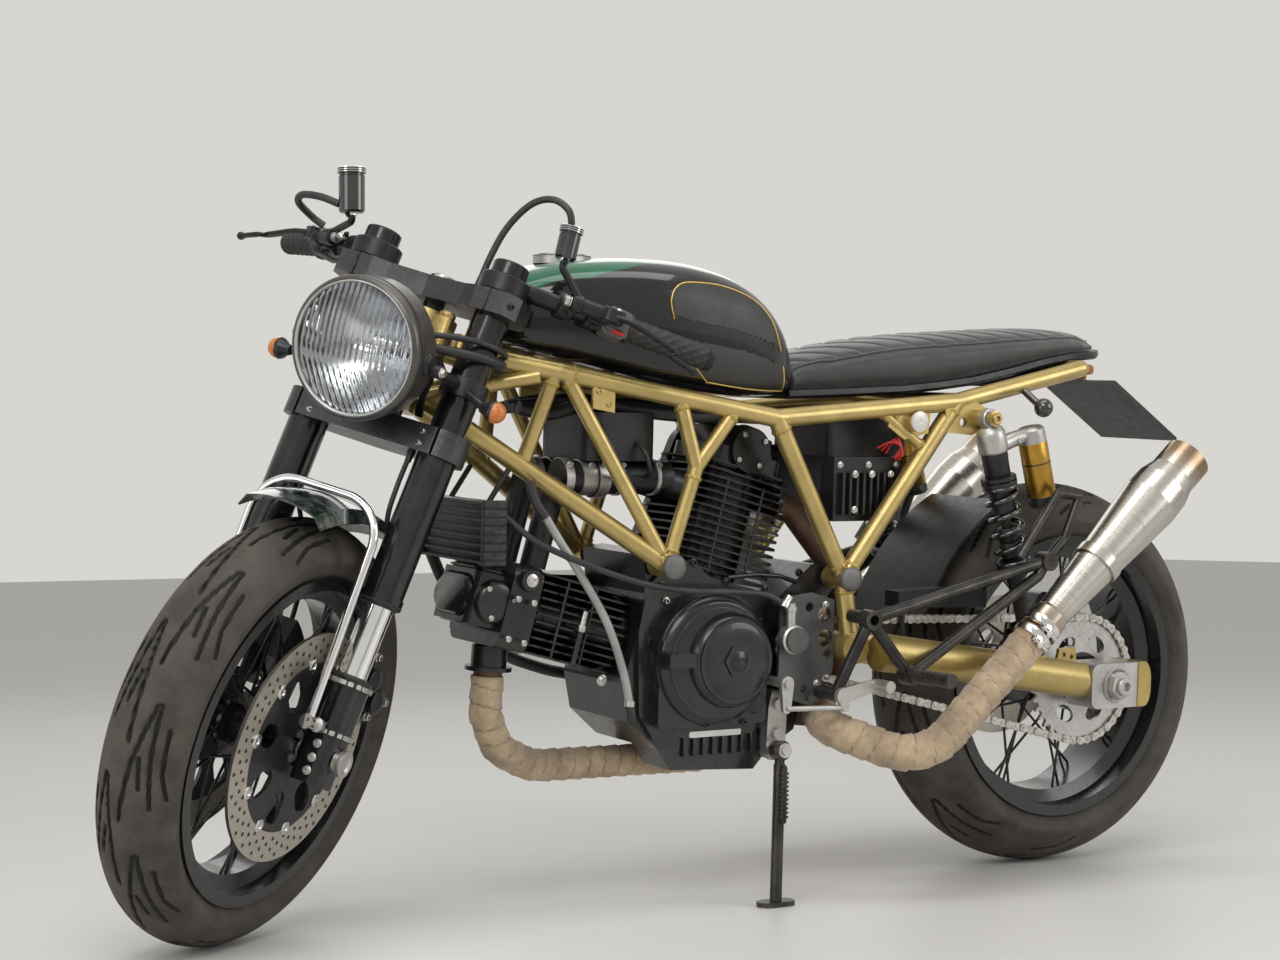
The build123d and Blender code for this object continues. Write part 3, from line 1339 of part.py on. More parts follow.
placed = []
for body, group in bodies.items():
    turn = stance * steered if body in ("steering", "front_wheel") else stance
    for name, piece in group.items():
        placed.append((body, name, piece.moved(turn)))
boxes = [piece.bounding_box() for _, _, piece in placed]
low_x, high_x = min(box.min.X for box in boxes), max(box.max.X for box in boxes)
low_y, high_y = min(box.min.Y for box in boxes), max(box.max.Y for box in boxes)
low_z, high_z = min(box.min.Z for box in boxes), max(box.max.Z for box in boxes)
shift = Location((-(low_x + high_x) / 2, -(low_y + high_y) / 2, 0))
for body, name, piece in placed:
    piece = piece.moved(shift)
    piece.label = name
    export_step(piece, f"parts/{name}.step")

# Where the joints and the hollow axles ended up, in the shared frame.
root_turn = shift * stance
steer_turn = root_turn * steered


def report(title, turn, point, way):
    """Print a point and a direction of a placed frame, in millimetres."""
    base = (turn * Location(tuple(point))).position
    tip = (turn * Location(tuple(Vector(*point) + Vector(*way)))).position
    run = (tip - base).normalized()
    print(title, [round(v, 4) for v in (base.X, base.Y, base.Z)], [round(v, 7) for v in (run.X, run.Y, run.Z)])


print("size", [round(v, 3) for v in (high_x - low_x, high_y - low_y, low_z, high_z)])
print("shift", [round(v, 4) for v in (shift.position.X, shift.position.Y)], "pitch", round(pitch, 4))
head_way = steering_plane.z_dir
head_middle = head_foot + head_way * ((head_low + head_high) / 2)
front_axle = (steering_plane.location * Location((fork_offset, 0, axle_rise))).position
report("steering_joint", root_turn, tuple(head_middle), tuple(head_way))
report("front_wheel_joint", steer_turn, tuple(front_axle), (0, 1, 0))
report("rear_wheel_joint", root_turn, tuple(rear_axle), (0, 1, 0))
report("stand_joint", root_turn, tuple(stand_pivot), tuple(stand_axis))
print("stand_swing", round(stand_swing, 3))
front_end = (steering_plane.location * Location((fork_offset, spindle_end, axle_rise))).position
report("front_bore_end", steer_turn, tuple(front_end), (0, 1, 0))
report("rear_bore_end", root_turn, (0, axle_end, rear_tyre_radius), (0, 1, 0))
print("names", {body: list(group) for body, group in bodies.items()})
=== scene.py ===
from math import asin, atan2, cos, exp, hypot, pi, radians, sin, sqrt, tan

import bmesh
import bpy
from mathutils import Matrix, Vector, noise
from mathutils.bvhtree import BVHTree


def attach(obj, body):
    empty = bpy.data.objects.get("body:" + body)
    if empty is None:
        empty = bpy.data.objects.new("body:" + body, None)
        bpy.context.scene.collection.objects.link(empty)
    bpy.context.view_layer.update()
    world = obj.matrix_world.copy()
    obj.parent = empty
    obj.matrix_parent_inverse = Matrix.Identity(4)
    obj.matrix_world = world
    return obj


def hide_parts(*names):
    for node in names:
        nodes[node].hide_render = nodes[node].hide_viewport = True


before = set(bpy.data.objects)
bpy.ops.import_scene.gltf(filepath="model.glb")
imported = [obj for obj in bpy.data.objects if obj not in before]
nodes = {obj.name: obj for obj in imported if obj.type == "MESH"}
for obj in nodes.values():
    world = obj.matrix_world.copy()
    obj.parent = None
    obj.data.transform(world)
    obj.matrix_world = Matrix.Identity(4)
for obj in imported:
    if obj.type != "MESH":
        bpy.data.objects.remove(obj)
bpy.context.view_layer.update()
X, Y, Z = Vector((1, 0, 0)), Vector((0, 1, 0)), Vector((0, 0, 1))

# Drawing frames, in millimetres: the upright bike, the steered fork, both wheels, lamp and pipe.
rake, wheelbase, trail = radians(22.5), 1402, 100
front_radius, rear_radius = 300, 315
fork_offset = front_radius * sin(rake) - trail * cos(rake)
axle_rise = front_radius * cos(rake) + trail * sin(rake)
lower_clamp_z, upper_clamp_top = axle_rise + 428, axle_rise + 672
leg_y = 104
bike = (
    Matrix.Translation((-0.672790, -0.003661, 0.000197))
    @ Matrix.Rotation(radians(-3.6), 4, "X")
    @ Matrix.Rotation(radians(0.2587), 4, "Y")
    @ Matrix.Scale(0.001, 4)
)
fork = (
    bike
    @ Matrix.Translation((wheelbase + trail, 0, 0))
    @ Matrix.Rotation(-rake, 4, "Y")
    @ Matrix.Rotation(radians(37), 4, "Z")
)
wheel_turn = Matrix.Rotation(radians(-90), 4, "X")
rear_wheel = bike @ Matrix.Translation((0, 0, rear_radius)) @ wheel_turn
front_wheel = fork @ Matrix.Translation((fork_offset, 0, axle_rise)) @ wheel_turn
lamp_frame = fork @ Matrix.Translation((156, 0, 836)) @ Matrix((
    (0, sin(rake), cos(rake), 0), (1, 0, 0, 0), (0, cos(rake), -sin(rake), 0), (0, 0, 0, 1)))
silencer_start, silencer_end = Vector((211, 240, 413)), Vector((-96, 240, 682))
silencer_way = (silencer_end - silencer_start).normalized()
silencer_turn = silencer_way.to_track_quat("X", "Z").to_matrix().to_4x4()
silencer_frame = bike @ Matrix.Translation(silencer_start) @ silencer_turn


# Materials: each is a Principled shader fed by noise in the object's own metres.
class Finish:
    def __init__(self, name, metallic=0.0, coat=0.0, coat_rough=0.05, sheen=0.0, specular=0.5):
        self.mat = bpy.data.materials.new(name)
        self.mat.use_nodes = True
        self.tree = self.mat.node_tree
        self.shader = self.tree.nodes["Principled BSDF"]
        self.put("Metallic", metallic)
        self.put("Coat Weight", coat)
        self.put("Coat Roughness", coat_rough)
        self.put("Sheen Weight", sheen)
        self.put("Specular IOR Level", specular)
        self.where = self.tree.nodes.new("ShaderNodeTexCoord").outputs["Object"]

    def put(self, socket, value):
        """Set one of the shader's sockets to a value, or link a node's output to it."""
        self.feed(self.shader.inputs[socket], value)

    def feed(self, socket, value):
        if isinstance(value, bpy.types.NodeSocket):
            self.tree.links.new(value, socket)
        elif isinstance(value, tuple) and len(value) == 3 and socket.type == "RGBA":
            socket.default_value = (*value, 1)
        else:
            socket.default_value = value

    def node(self, kind, *inputs, **fields):
        made = self.tree.nodes.new("ShaderNode" + kind)
        for name, value in fields.items():
            setattr(made, name, value)
        for socket, value in zip(made.inputs, inputs):
            if value is not None:
                self.feed(socket, value)
        return made

    def noise(self, scale, detail=3, stretch=None, rough=0.55):
        where = self.where
        if stretch:
            where = self.node("Mapping", where, None, None, stretch).outputs[0]
        made = self.node("TexNoise", where)
        made.inputs["Scale"].default_value = scale
        made.inputs["Detail"].default_value = detail
        made.inputs["Roughness"].default_value = rough
        return made.outputs["Fac"]

    def math(self, operation, a, b=0.0):
        return self.node("Math", a, b, operation=operation).outputs[0]

    def ramp(self, value, low, high, to_low=0.0, to_high=1.0):
        return self.node("MapRange", value, low, high, to_low, to_high).outputs[0]

    def mix(self, amount, a, b):
        made = self.node("Mix", data_type="RGBA")
        self.feed(made.inputs["Factor"], amount)
        self.feed(made.inputs[6], a)
        self.feed(made.inputs[7], b)
        return made.outputs[2]

    def colour(self, amount, a, b):
        self.put("Base Color", self.mix(amount, a, b))

    def rough(self, scale, detail, low, high):
        """Roughness that drifts from low to high."""
        self.put("Roughness", self.ramp(self.noise(scale, detail), 0.3, 0.7, low, high))
    def bump(self, height, strength=0.3, distance=0.001):
        made = self.node("Bump")
        made.inputs["Strength"].default_value = strength
        made.inputs["Distance"].default_value = distance
        self.feed(made.inputs["Height"], height)
        below = self.shader.inputs["Normal"]
        if below.is_linked:
            self.feed(made.inputs["Normal"], below.links[0].from_socket)
        self.put("Normal", made.outputs["Normal"])

    def edges(self, low=0.52, high=0.62):
        """Bright where an edge stands proud, dark in the hollows."""
        return self.ramp(self.node("NewGeometry").outputs["Pointiness"], low, high)

    def turned(self, place):
        """Coordinates in millimetres in a drawing frame."""
        made = self.node("Mapping", self.where)
        location, rotation, size = place.inverted().decompose()
        made.inputs["Location"].default_value = location
        made.inputs["Rotation"].default_value = rotation.to_euler()
        made.inputs["Scale"].default_value = size
        return made.outputs[0]

    def local(self, place):
        return self.node("SeparateXYZ", self.turned(place)).outputs


def plain(name, colour, other, rough, metallic=0.0, scale=25, grain=1400, bump=0.15, wear_and_sheen=None,
          wear=(0.53, 0.62), **shader):
    """A finish with a slow colour drift, a fine grain and, where asked, edges that show wear."""
    made = Finish(name, metallic, **shader)
    base = made.mix(made.ramp(made.noise(scale, 5), 0.35, 0.65), colour, other)
    if wear_and_sheen:
        scuffs = made.math("MULTIPLY", made.edges(*wear), made.ramp(made.noise(220, 4), 0.38, 0.6))
        base = made.mix(scuffs, base, wear_and_sheen)
    made.put("Base Color", base)
    made.rough(scale * 3, 4, *rough)
    made.bump(made.noise(grain, 2), bump, 0.0004)
    return made


gold = plain("gold_paint", (0.54, 0.405, 0.145), (0.43, 0.32, 0.11), (0.3, 0.42), 0.72,
    wear_and_sheen=(0.5, 0.38, 0.14), wear=(0.56, 0.7), coat=0.5)
gold_rear = plain("gold_swingarm", (0.50, 0.365, 0.115), (0.40, 0.29, 0.085), (0.34, 0.46), 0.7,
    wear_and_sheen=(0.5, 0.4, 0.18), wear=(0.56, 0.7), coat=0.3)
gold_anodised = plain("gold_anodised", (0.5, 0.29, 0.045), (0.40, 0.22, 0.035), (0.24, 0.36), 0.85, bump=0.1)
black_cast = plain("black_cast", (0.009, 0.0095, 0.0095), (0.019, 0.020, 0.020), (0.26, 0.38), 0.3,
    grain=700, bump=0.22, coat=0.35, wear_and_sheen=(0.06, 0.06, 0.06), wear=(0.56, 0.7))
fin_black = plain("black_fins", (0.010, 0.010, 0.011), (0.022, 0.022, 0.023), (0.24, 0.36), 0.4, grain=1200,
    bump=0.25, coat=0.3, wear_and_sheen=(0.075, 0.075, 0.075), wear=(0.56, 0.75))
billet = plain("dark_billet", (0.055, 0.056, 0.060), (0.080, 0.080, 0.084), (0.27, 0.38), 0.85, grain=2200,
    bump=0.12, wear_and_sheen=(0.14, 0.14, 0.14), wear=(0.58, 0.75))
grey_plate = plain("grey_plate", (0.085, 0.087, 0.088), (0.12, 0.12, 0.12), (0.34, 0.46), 0.6, bump=0.2)
satin_black = plain("satin_black", (0.013, 0.013, 0.014), (0.022, 0.022, 0.024), (0.3, 0.45), 0.3,
    wear_and_sheen=(0.07, 0.07, 0.07), wear=(0.58, 0.75))
tube_black = plain("worn_black_tube", (0.028, 0.027, 0.026), (0.065, 0.06, 0.055), (0.26, 0.4), 0.65,
    wear_and_sheen=(0.16, 0.145, 0.13), wear=(0.55, 0.7))
gloss_black = plain("gloss_black", (0.008, 0.008, 0.009), (0.014, 0.014, 0.015), (0.12, 0.2), bump=0.05,
    coat=1.0)
fork_black = plain("fork_black", (0.012, 0.012, 0.014), (0.024, 0.024, 0.026), (0.16, 0.24), 0.6, bump=0.04,
    coat=0.5)
cast_silver = plain("cast_silver", (0.42, 0.41, 0.39), (0.56, 0.55, 0.53), (0.34, 0.5), 0.9, grain=900,
    bump=0.3, wear_and_sheen=(0.66, 0.65, 0.63), wear=(0.56, 0.7))
bright_steel = plain("bright_steel", (0.6, 0.59, 0.57), (0.7, 0.69, 0.67), (0.12, 0.26), 1.0, grain=1800,
    bump=0.08)
chrome = plain("chrome", (0.74, 0.74, 0.75), (0.82, 0.82, 0.83), (0.04, 0.09), 1.0, bump=0.02)
ring_silver = plain("pale_ring", (0.56, 0.57, 0.55), (0.66, 0.67, 0.65), (0.25, 0.38), 0.75, bump=0.08)
bolt_steel = plain("bolt_steel", (0.5, 0.49, 0.47), (0.66, 0.65, 0.62), (0.22, 0.4), 1.0, scale=120,
    bump=0.12)
bolt_black = plain("bolt_black", (0.03, 0.03, 0.03), (0.07, 0.07, 0.07), (0.26, 0.4), 0.8, scale=90,
    bump=0.12)
rubber = plain("black_rubber", (0.018, 0.018, 0.018), (0.032, 0.031, 0.030), (0.55, 0.72), grain=700,
    bump=0.3)
hose_rubber = plain("hose_rubber", (0.018, 0.018, 0.019), (0.034, 0.034, 0.034), (0.4, 0.55), bump=0.2)
pale_hose = plain("pale_hose", (0.30, 0.30, 0.29), (0.42, 0.42, 0.40), (0.35, 0.5), 0.2, bump=0.15)
brass = plain("brass", (0.42, 0.30, 0.11), (0.55, 0.41, 0.18), (0.28, 0.42), 0.9, bump=0.25, scale=70)
red_wire = plain("red_wire", (0.5, 0.02, 0.02), (0.6, 0.04, 0.03), (0.35, 0.45), bump=0.05)
grey_plastic = plain("grey_switch", (0.10, 0.10, 0.10), (0.15, 0.15, 0.145), (0.4, 0.55), 0.2, grain=900,
    bump=0.35)
cooler_black = plain("cooler_black", (0.016, 0.016, 0.018), (0.034, 0.033, 0.032), (0.35, 0.5), 0.5,
    scale=80, wear_and_sheen=(0.09, 0.09, 0.085), wear=(0.58, 0.75))
rusty = plain("rusty_pipe", (0.20, 0.105, 0.065), (0.11, 0.07, 0.055), (0.45, 0.7), 0.6, scale=55,
    grain=500, bump=0.6, wear_and_sheen=(0.28, 0.17, 0.11), wear=(0.56, 0.7))
weld_gold = plain("weld_gold", (0.48, 0.34, 0.10), (0.37, 0.26, 0.08), (0.36, 0.5), 0.7, scale=200,
    grain=600, bump=0.6)
cap_grey = plain("end_cap_grey", (0.13, 0.13, 0.125), (0.19, 0.185, 0.18), (0.4, 0.55), 0.3, bump=0.3)
key_face = plain("key_face", (0.62, 0.6, 0.56), (0.72, 0.7, 0.66), (0.3, 0.4), 0.2, bump=0.1)
knee_matt = plain("knee_matt", (0.030, 0.031, 0.030), (0.042, 0.043, 0.041), (0.42, 0.52), 0.15, grain=2000,
    bump=0.12)
pin_gold = plain("pin_gold", (0.62, 0.40, 0.10), (0.72, 0.50, 0.16), (0.3, 0.4), 0.5, scale=200, bump=0.05)
chain_steel = plain("chain_steel", (0.40, 0.38, 0.345), (0.62, 0.60, 0.57), (0.28, 0.5), 1.0, scale=160,
    bump=0.25)


def make_amber():
    made = Finish("amber_lens", coat=0.6)
    made.colour(made.ramp(made.noise(140, 3), 0.35, 0.65), (0.85, 0.2, 0.02), (0.95, 0.33, 0.05))
    made.put("Roughness", 0.18)
    made.put("Transmission Weight", 0.35)
    made.put("Subsurface Weight", 0.2)
    ridges = made.node("TexWave", made.where, wave_type="BANDS", bands_direction="Z")
    ridges.inputs["Scale"].default_value = 160
    made.bump(ridges.outputs["Fac"], 0.35, 0.001)
    return made


def make_glass():
    """Pressed lamp glass: clear, with a faint ripple from the mould."""
    made = Finish("lamp_lens")
    made.colour(made.noise(30, 3), (0.96, 0.98, 1.0), (0.99, 1.0, 0.98))
    made.put("Roughness", 0.015)
    made.put("Transmission Weight", 1.0)
    made.put("IOR", 1.32)
    x, y = made.local(lamp_frame)[:2]
    upright = made.math("SINE", made.math("MULTIPLY", x, 0.72))
    made.bump(made.math("MULTIPLY", upright, made.ramp(y, -24, -14)), 0.55, 0.0016)
    slanted = made.math("SINE", made.math("MULTIPLY", made.math("ADD", x, made.math("MULTIPLY", y, 0.5)),
        0.62))
    made.bump(made.math("MULTIPLY", slanted, made.ramp(y, -24, -34)), 0.55, 0.0016)
    made.bump(made.noise(90, 3), 0.03, 0.0006)
    return made


def make_reflector():
    made = Finish("lamp_reflector", 1.0)
    made.colour(made.noise(40, 2), (0.52, 0.53, 0.56), (0.68, 0.69, 0.71))
    made.put("Roughness", 0.2)
    return made


def make_silencer():
    """Brushed tube: fine rings across the pipe, tinted bronze towards both ends."""
    made = Finish("brushed_silencer", 1.0)
    along = made.local(silencer_frame)[0]
    made.where = made.turned(silencer_frame)
    brush = made.noise(1.0, 4, (2.2, 0.03, 0.03))
    tint = made.math("ADD", made.ramp(along, 60, -6), made.ramp(along, 352, 392))
    steel = made.mix(made.ramp(brush, 0.3, 0.7), (0.48, 0.45, 0.41), (0.60, 0.57, 0.52))
    made.colour(tint, steel, (0.33, 0.235, 0.15))
    made.put("Roughness", made.ramp(brush, 0.3, 0.7, 0.2, 0.34))
    made.bump(brush, 0.12, 0.0003)
    return made


def make_wrap():
    """Woven heat wrap: a fine over-and-under weave that is scorched in places."""
    made = Finish("heat_wrap", sheen=0.3)
    weave = made.node("TexVoronoi", made.where)
    weave.inputs["Scale"].default_value = 620
    scorch = made.ramp(made.noise(16, 4), 0.42, 0.72)
    base = made.mix(made.ramp(made.noise(90, 5), 0.3, 0.7), (0.48, 0.355, 0.22), (0.64, 0.49, 0.325))
    base = made.mix(scorch, base, (0.27, 0.20, 0.14))
    # Painted shade: the hollows between the laps are darkened in the colour.
    made.colour(made.edges(0.49, 0.42), base, (0.06, 0.045, 0.035))
    made.put("Roughness", 0.92)
    made.bump(weave.outputs["Distance"], 0.8, 0.0012)
    made.bump(made.noise(240, 4), 0.5, 0.0015)
    return made


def make_tyre_rubber():
    """Dusty rubber with pale specks, and painted shade in the tread grooves."""
    made = Finish("tyre_rubber", specular=0.35)
    dust = made.ramp(made.noise(22, 6), 0.4, 0.7)
    base = made.mix(dust, (0.046, 0.041, 0.036), (0.098, 0.083, 0.068))
    speck = made.ramp(made.noise(900, 2), 0.66, 0.74)
    # Painted shade: the tread grooves are darkened in the colour by the depth of the cut.
    groove_shade = made.ramp(made.node("Attribute", attribute_name="cut").outputs["Fac"], 0.25, 0.6)
    made.colour(groove_shade, made.mix(speck, base, (0.16, 0.14, 0.12)), (0.006, 0.006, 0.006))
    made.put("Roughness", made.ramp(dust, 0, 1, 0.58, 0.78))
    made.bump(made.noise(1500, 2), 0.35, 0.0005)
    return made


def make_disc():
    """Ground steel: rings round the axle, with a warm tint from the heat."""
    made = Finish("ground_disc", 1.0)
    x, y = made.local(front_wheel)[:2]
    reach = made.math("SQRT", made.math("ADD", made.math("MULTIPLY", x, x), made.math("MULTIPLY", y, y)))
    rings = made.node("TexNoise", noise_dimensions="1D")
    made.feed(rings.inputs["W"], reach)
    rings.inputs["Scale"].default_value = 1.3
    swept = made.ramp(rings.outputs["Fac"], 0.3, 0.7)
    made.colour(swept, (0.46, 0.41, 0.35), (0.66, 0.61, 0.54))
    made.put("Roughness", made.ramp(swept, 0, 1, 0.26, 0.42))
    made.bump(swept, 0.15, 0.0003)
    return made


def make_tank_paint():
    """Green flake along the crest, gloss black on both sides."""
    made = Finish("tank_paint", coat=0.75, coat_rough=0.03, specular=0.2)
    x, y, z = made.local(bike)[:3]
    flake = made.noise(2400, 1)
    green = made.mix(made.ramp(flake, 0.4, 0.7), (0.006, 0.105, 0.050), (0.014, 0.19, 0.095))
    black = made.mix(made.noise(30, 3), (0.007, 0.007, 0.008), (0.012, 0.012, 0.013))
    rise = made.math("POWER", made.ramp(x, 660, 880), 0.5)
    edge = made.math("MULTIPLY_ADD", rise, 100.0)
    tip = made.ramp(x, 940, 1070, 0, 42)
    across = made.math("ADD", made.math("ABSOLUTE", y), tip)
    on_top = made.ramp(made.math("SUBTRACT", across, edge), 0.6, -0.6)
    on_top = made.math("MULTIPLY", on_top, made.ramp(z, 850, 858))
    made.colour(on_top, black, green)
    made.rough(60, 3, 0.14, 0.2)
    return made


def make_leather():
    """Seat leather: fine creased grain, with a cool green-grey sheen painted into the colour as soft lighter
    patches.
    """
    made = Finish("seat_leather", sheen=0.5, specular=0.45)
    grain = made.node("TexVoronoi", made.where)
    grain.inputs["Scale"].default_value = 900
    # Painted sheen: the lighter green-grey patches of this noise stand for light on the leather.
    wear_and_sheen = made.ramp(made.noise(9, 5), 0.4, 0.7)
    made.colour(wear_and_sheen, (0.013, 0.014, 0.014), (0.034, 0.038, 0.036))
    made.rough(45, 4, 0.34, 0.5)
    made.bump(grain.outputs["Distance"], 0.35, 0.0006)
    made.bump(made.noise(60, 5), 0.2, 0.002)
    return made


def make_rim():
    """Deep black lacquer on the rim, hub and spokes."""
    made = Finish("rim_black", 0.25, coat=0.4, coat_rough=0.14)
    made.colour(made.noise(30, 4), (0.009, 0.009, 0.01), (0.02, 0.02, 0.021))
    made.rough(80, 3, 0.16, 0.3)
    made.bump(made.noise(1200, 2), 0.06, 0.0004)
    return made


def make_shell():
    made = Finish("lamp_shell_paint", 0.6, coat=0.3, coat_rough=0.2)
    made.colour(made.noise(24, 4), (0.075, 0.068, 0.062), (0.10, 0.092, 0.084))
    made.rough(60, 3, 0.32, 0.45)
    made.bump(made.noise(1600, 2), 0.12, 0.0004)
    return made


def make_guard():
    """The front mudguard: polished dark green-black, with soft marbled pale patches that are painted
    reflection.
    """
    made = Finish("guard_paint", 0.35, coat=0.7, coat_rough=0.06)
    painted_reflection_cloud = made.ramp(made.noise(26, 6, rough=0.7), 0.46, 0.62)
    made.colour(painted_reflection_cloud, (0.010, 0.022, 0.017), (0.16, 0.18, 0.165))
    made.put("Roughness", made.ramp(painted_reflection_cloud, 0, 1, 0.16, 0.3))
    return made


# Shapes: points and faces gathered in one drawing frame, then made into one piece.
class Shape:
    def __init__(self, place):
        self.place = place
        self.points, self.faces = [], []

    def rings(self, rows, close_ends=True, close_loop=True, wrap=False):
        """Join rows of points, each an equal ring, into a skin."""
        start, size = len(self.points), len(rows[0])
        for row in rows:
            self.points += [Vector(point) for point in row]
        last = len(rows) if wrap else len(rows) - 1
        for r in range(last):
            a, b = start + r * size, start + (r + 1) % len(rows) * size
            for c in range(size if close_loop else size - 1):
                d = (c + 1) % size
                self.faces.append((a + c, a + d, b + d, b + c))
        if close_ends and not wrap:
            self.faces.append(tuple(range(start + size - 1, start - 1, -1)))
            end = start + (len(rows) - 1) * size
            self.faces.append(tuple(range(end, end + size)))
        return self

    def tube(self, path, radius, sides=14, ends=True):
        """A round tube along a path; radius is a number or a function of length and angle."""
        path = [Vector(point) for point in path]
        heading = (path[1] - path[0]).normalized()
        across = heading.orthogonal().normalized()
        length, rows = 0.0, []
        for index, point in enumerate(path):
            before, after = path[max(index - 1, 0)], path[min(index + 1, len(path) - 1)]
            way = (after - before).normalized()
            across = (across - way * across.dot(way)).normalized()
            other = way.cross(across)
            if index:
                length += (point - before).length
            ring = []
            for step in range(sides):
                angle = 2 * pi * step / sides
                reach = radius(length, angle) if callable(radius) else radius
                ring.append(point + (across * cos(angle) + other * sin(angle)) * reach)
            rows.append(ring)
        return self.rings(rows, ends)

    def rod(self, start, end, radius, sides=14):
        return self.tube([start, end], radius, sides)

    def curve(self, points, count, radius, sides):
        """A tube along a smooth open curve through the points."""
        return self.tube(smooth_loop(points, count, False), radius, sides)

    def spin(self, origin, axis, profile, steps=40, hoop=False):
        """Turn a profile of (along, radius) round an axis."""
        origin, axis = Vector(origin), Vector(axis).normalized()
        across = axis.orthogonal().normalized()
        other = axis.cross(across)
        rows = []
        for along, reach in profile:
            rows.append([origin + axis * along
                + (across * cos(2 * pi * s / steps) + other * sin(2 * pi * s / steps)) * reach
                for s in range(steps)])
        return self.rings(rows, wrap=hoop)

    def prism(self, outline, low, high, frame_of, bevel=0.0):
        """An outline pushed from low to high; frame_of turns (u, v, w) into a point."""
        middle = Vector([sum(values) / len(outline) for values in zip(*outline)])
        rows, steps = [], [(low, 0), (high, 0)]
        if bevel:
            steps = [(low, bevel), (low + bevel, 0), (high - bevel, 0), (high, bevel)]
        for level, inset in steps:
            ring = []
            for u, v in outline:
                pull = (middle - Vector((u, v))).normalized() * inset
                ring.append(Vector(frame_of(u + pull.x, v + pull.y, level)))
            rows.append(ring)
        return self.rings(rows)

    def bolt(self, at, axis, size=6, head=5, sides=6, washer=True):
        """A bolt head with a socket, on a washer."""
        if washer:
            self.spin(at, axis, [(-1, size * 1.35), (1, size * 1.35), (1.4, size * 1.2)], 20)
        profile = [(0, 1), (0.85, 1), (1, 0.85), (1, 0.5), (0.45, 0.45)]
        return self.spin(at, axis, [(head * along, size * reach) for along, reach in profile], sides)

    def slab(self, middle, u, v, width, depth, low, high, corner=3, bevel=1):
        """A rounded block: width along u, depth along v, from low to high square to both."""
        middle, u, v = Vector(middle), Vector(u).normalized(), Vector(v).normalized()
        u = (u - v * u.dot(v)).normalized()
        up = u.cross(v)
        outline = []
        for quarter, (su, sv) in enumerate(((1, 1), (-1, 1), (-1, -1), (1, -1))):
            cu, cv = su * (width / 2 - corner), sv * (depth / 2 - corner)
            for step in range(4):
                turn = pi / 2 * (quarter + step / 3)
                outline.append((cu + corner * cos(turn), cv + corner * sin(turn)))
        return self.prism(outline, low, high, lambda a, b, c: middle + u * a + v * b + up * c, bevel)

    def coil(self, start, end, reach, wire, turns, sides=12, steps=28):
        """A helical spring between two points, with flat end coils."""
        start, end = Vector(start), Vector(end)
        way = (end - start).normalized()
        across = way.orthogonal().normalized()
        other = way.cross(across)
        length, path = (end - start).length, []
        for step in range(int(turns * steps) + 1):
            share = step / (turns * steps)
            angle = 2 * pi * turns * share
            lift = max(0.0, min(1.0, (share * turns - 0.8) / (turns - 1.6)))
            path.append(start + way * length * lift + (across * cos(angle) + other * sin(angle)) * reach)
        return self.tube(path, wire, sides)

    def bead(self, at, way, reach, size=2.2, lumps=16):
        """A weld: a lumpy ring round a tube."""
        at, way = Vector(at), Vector(way).normalized()
        across = way.orthogonal().normalized()
        other = way.cross(across)
        rows = []
        for step in range(64):
            angle = 2 * pi * step / 64
            out = across * cos(angle) + other * sin(angle)
            fat = size * (1 + 0.22 * cos(lumps * angle))
            ring = [(cos(2 * pi * k / 6), sin(2 * pi * k / 6)) for k in range(6)]
            rows.append([at + out * (reach + fat * c) + way * fat * 1.4 * s for c, s in ring])
        return self.rings(rows, wrap=True)

    def make(self, name, body, finish, smooth=35, replaces=()):
        mesh = bpy.data.meshes.new(name)
        mesh.from_pydata([tuple(self.place @ point) for point in self.points], [], self.faces)
        mesh.update()
        made = bpy.data.objects.new(name, mesh)
        bpy.context.scene.collection.objects.link(made)
        work = bmesh.new()
        work.from_mesh(mesh)
        bmesh.ops.recalc_face_normals(work, faces=work.faces)
        work.to_mesh(mesh)
        work.free()
        for face in mesh.polygons:
            face.use_smooth = True
        mesh.set_sharp_from_angle(angle=radians(smooth))
        mesh.materials.append(finish.mat)
        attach(made, body)
        if replaces:
            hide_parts(*replaces)
        return made


def smooth_loop(points, count, closed=True):
    """A Catmull-Rom curve through the points, as evenly indexed points."""
    points = [Vector(point) for point in points]
    size, path = len(points), []
    spans = size if closed else size - 1
    for step in range(count if closed else count + 1):
        place = step / count * spans
        index = min(int(place), spans - 1)
        t = place - index
        if closed:
            a, b, c, d = (points[(index + k) % size] for k in (-1, 0, 1, 2))
        else:
            a, b, c, d = (points[max(0, min(size - 1, index + k))] for k in (-1, 0, 1, 2))
        path.append(0.5 * (2 * b + (c - a) * t + (2 * a - 5 * b + 4 * c - d) * t**2
            + (3 * b - a - 3 * c + d) * t**3))
    return path


def aside(points, side):
    """Points given on the left, moved to the side asked for: 1 is left and -1 is right."""
    return [Vector((x, side * y, z)) for x, y, z in points]


def smooth_path(points, radii, step=4):
    """Straight runs joined by arcs, as evenly divided points."""
    points = [Vector(point) for point in points]
    path = [points[0]]
    for before, corner, after, radius in zip(points, points[1:], points[2:], radii):
        a, b = (before - corner).normalized(), (after - corner).normalized()
        half = a.angle(b) / 2
        reach = radius / tan(half)
        centre = corner + (a + b).normalized() * (radius / sin(half))
        u, v = corner + a * reach - centre, corner + b * reach - centre
        turn = u.angle(v)
        count = max(2, int(radius * turn / step))
        for s in range(count + 1):
            t = s / count
            path.append(centre + (u * sin((1 - t) * turn) + v * sin(t * turn)) / sin(turn))
    path.append(points[-1])
    even = [path[0]]
    for a, b in zip(path, path[1:]):
        count = max(1, round((b - a).length / step))
        even += [a.lerp(b, s / count) for s in range(1, count + 1)]
    return even


wrap, tyre_rubber, leather = make_wrap(), make_tyre_rubber(), make_leather()
rim_paint, shell_paint = make_rim(), make_shell()

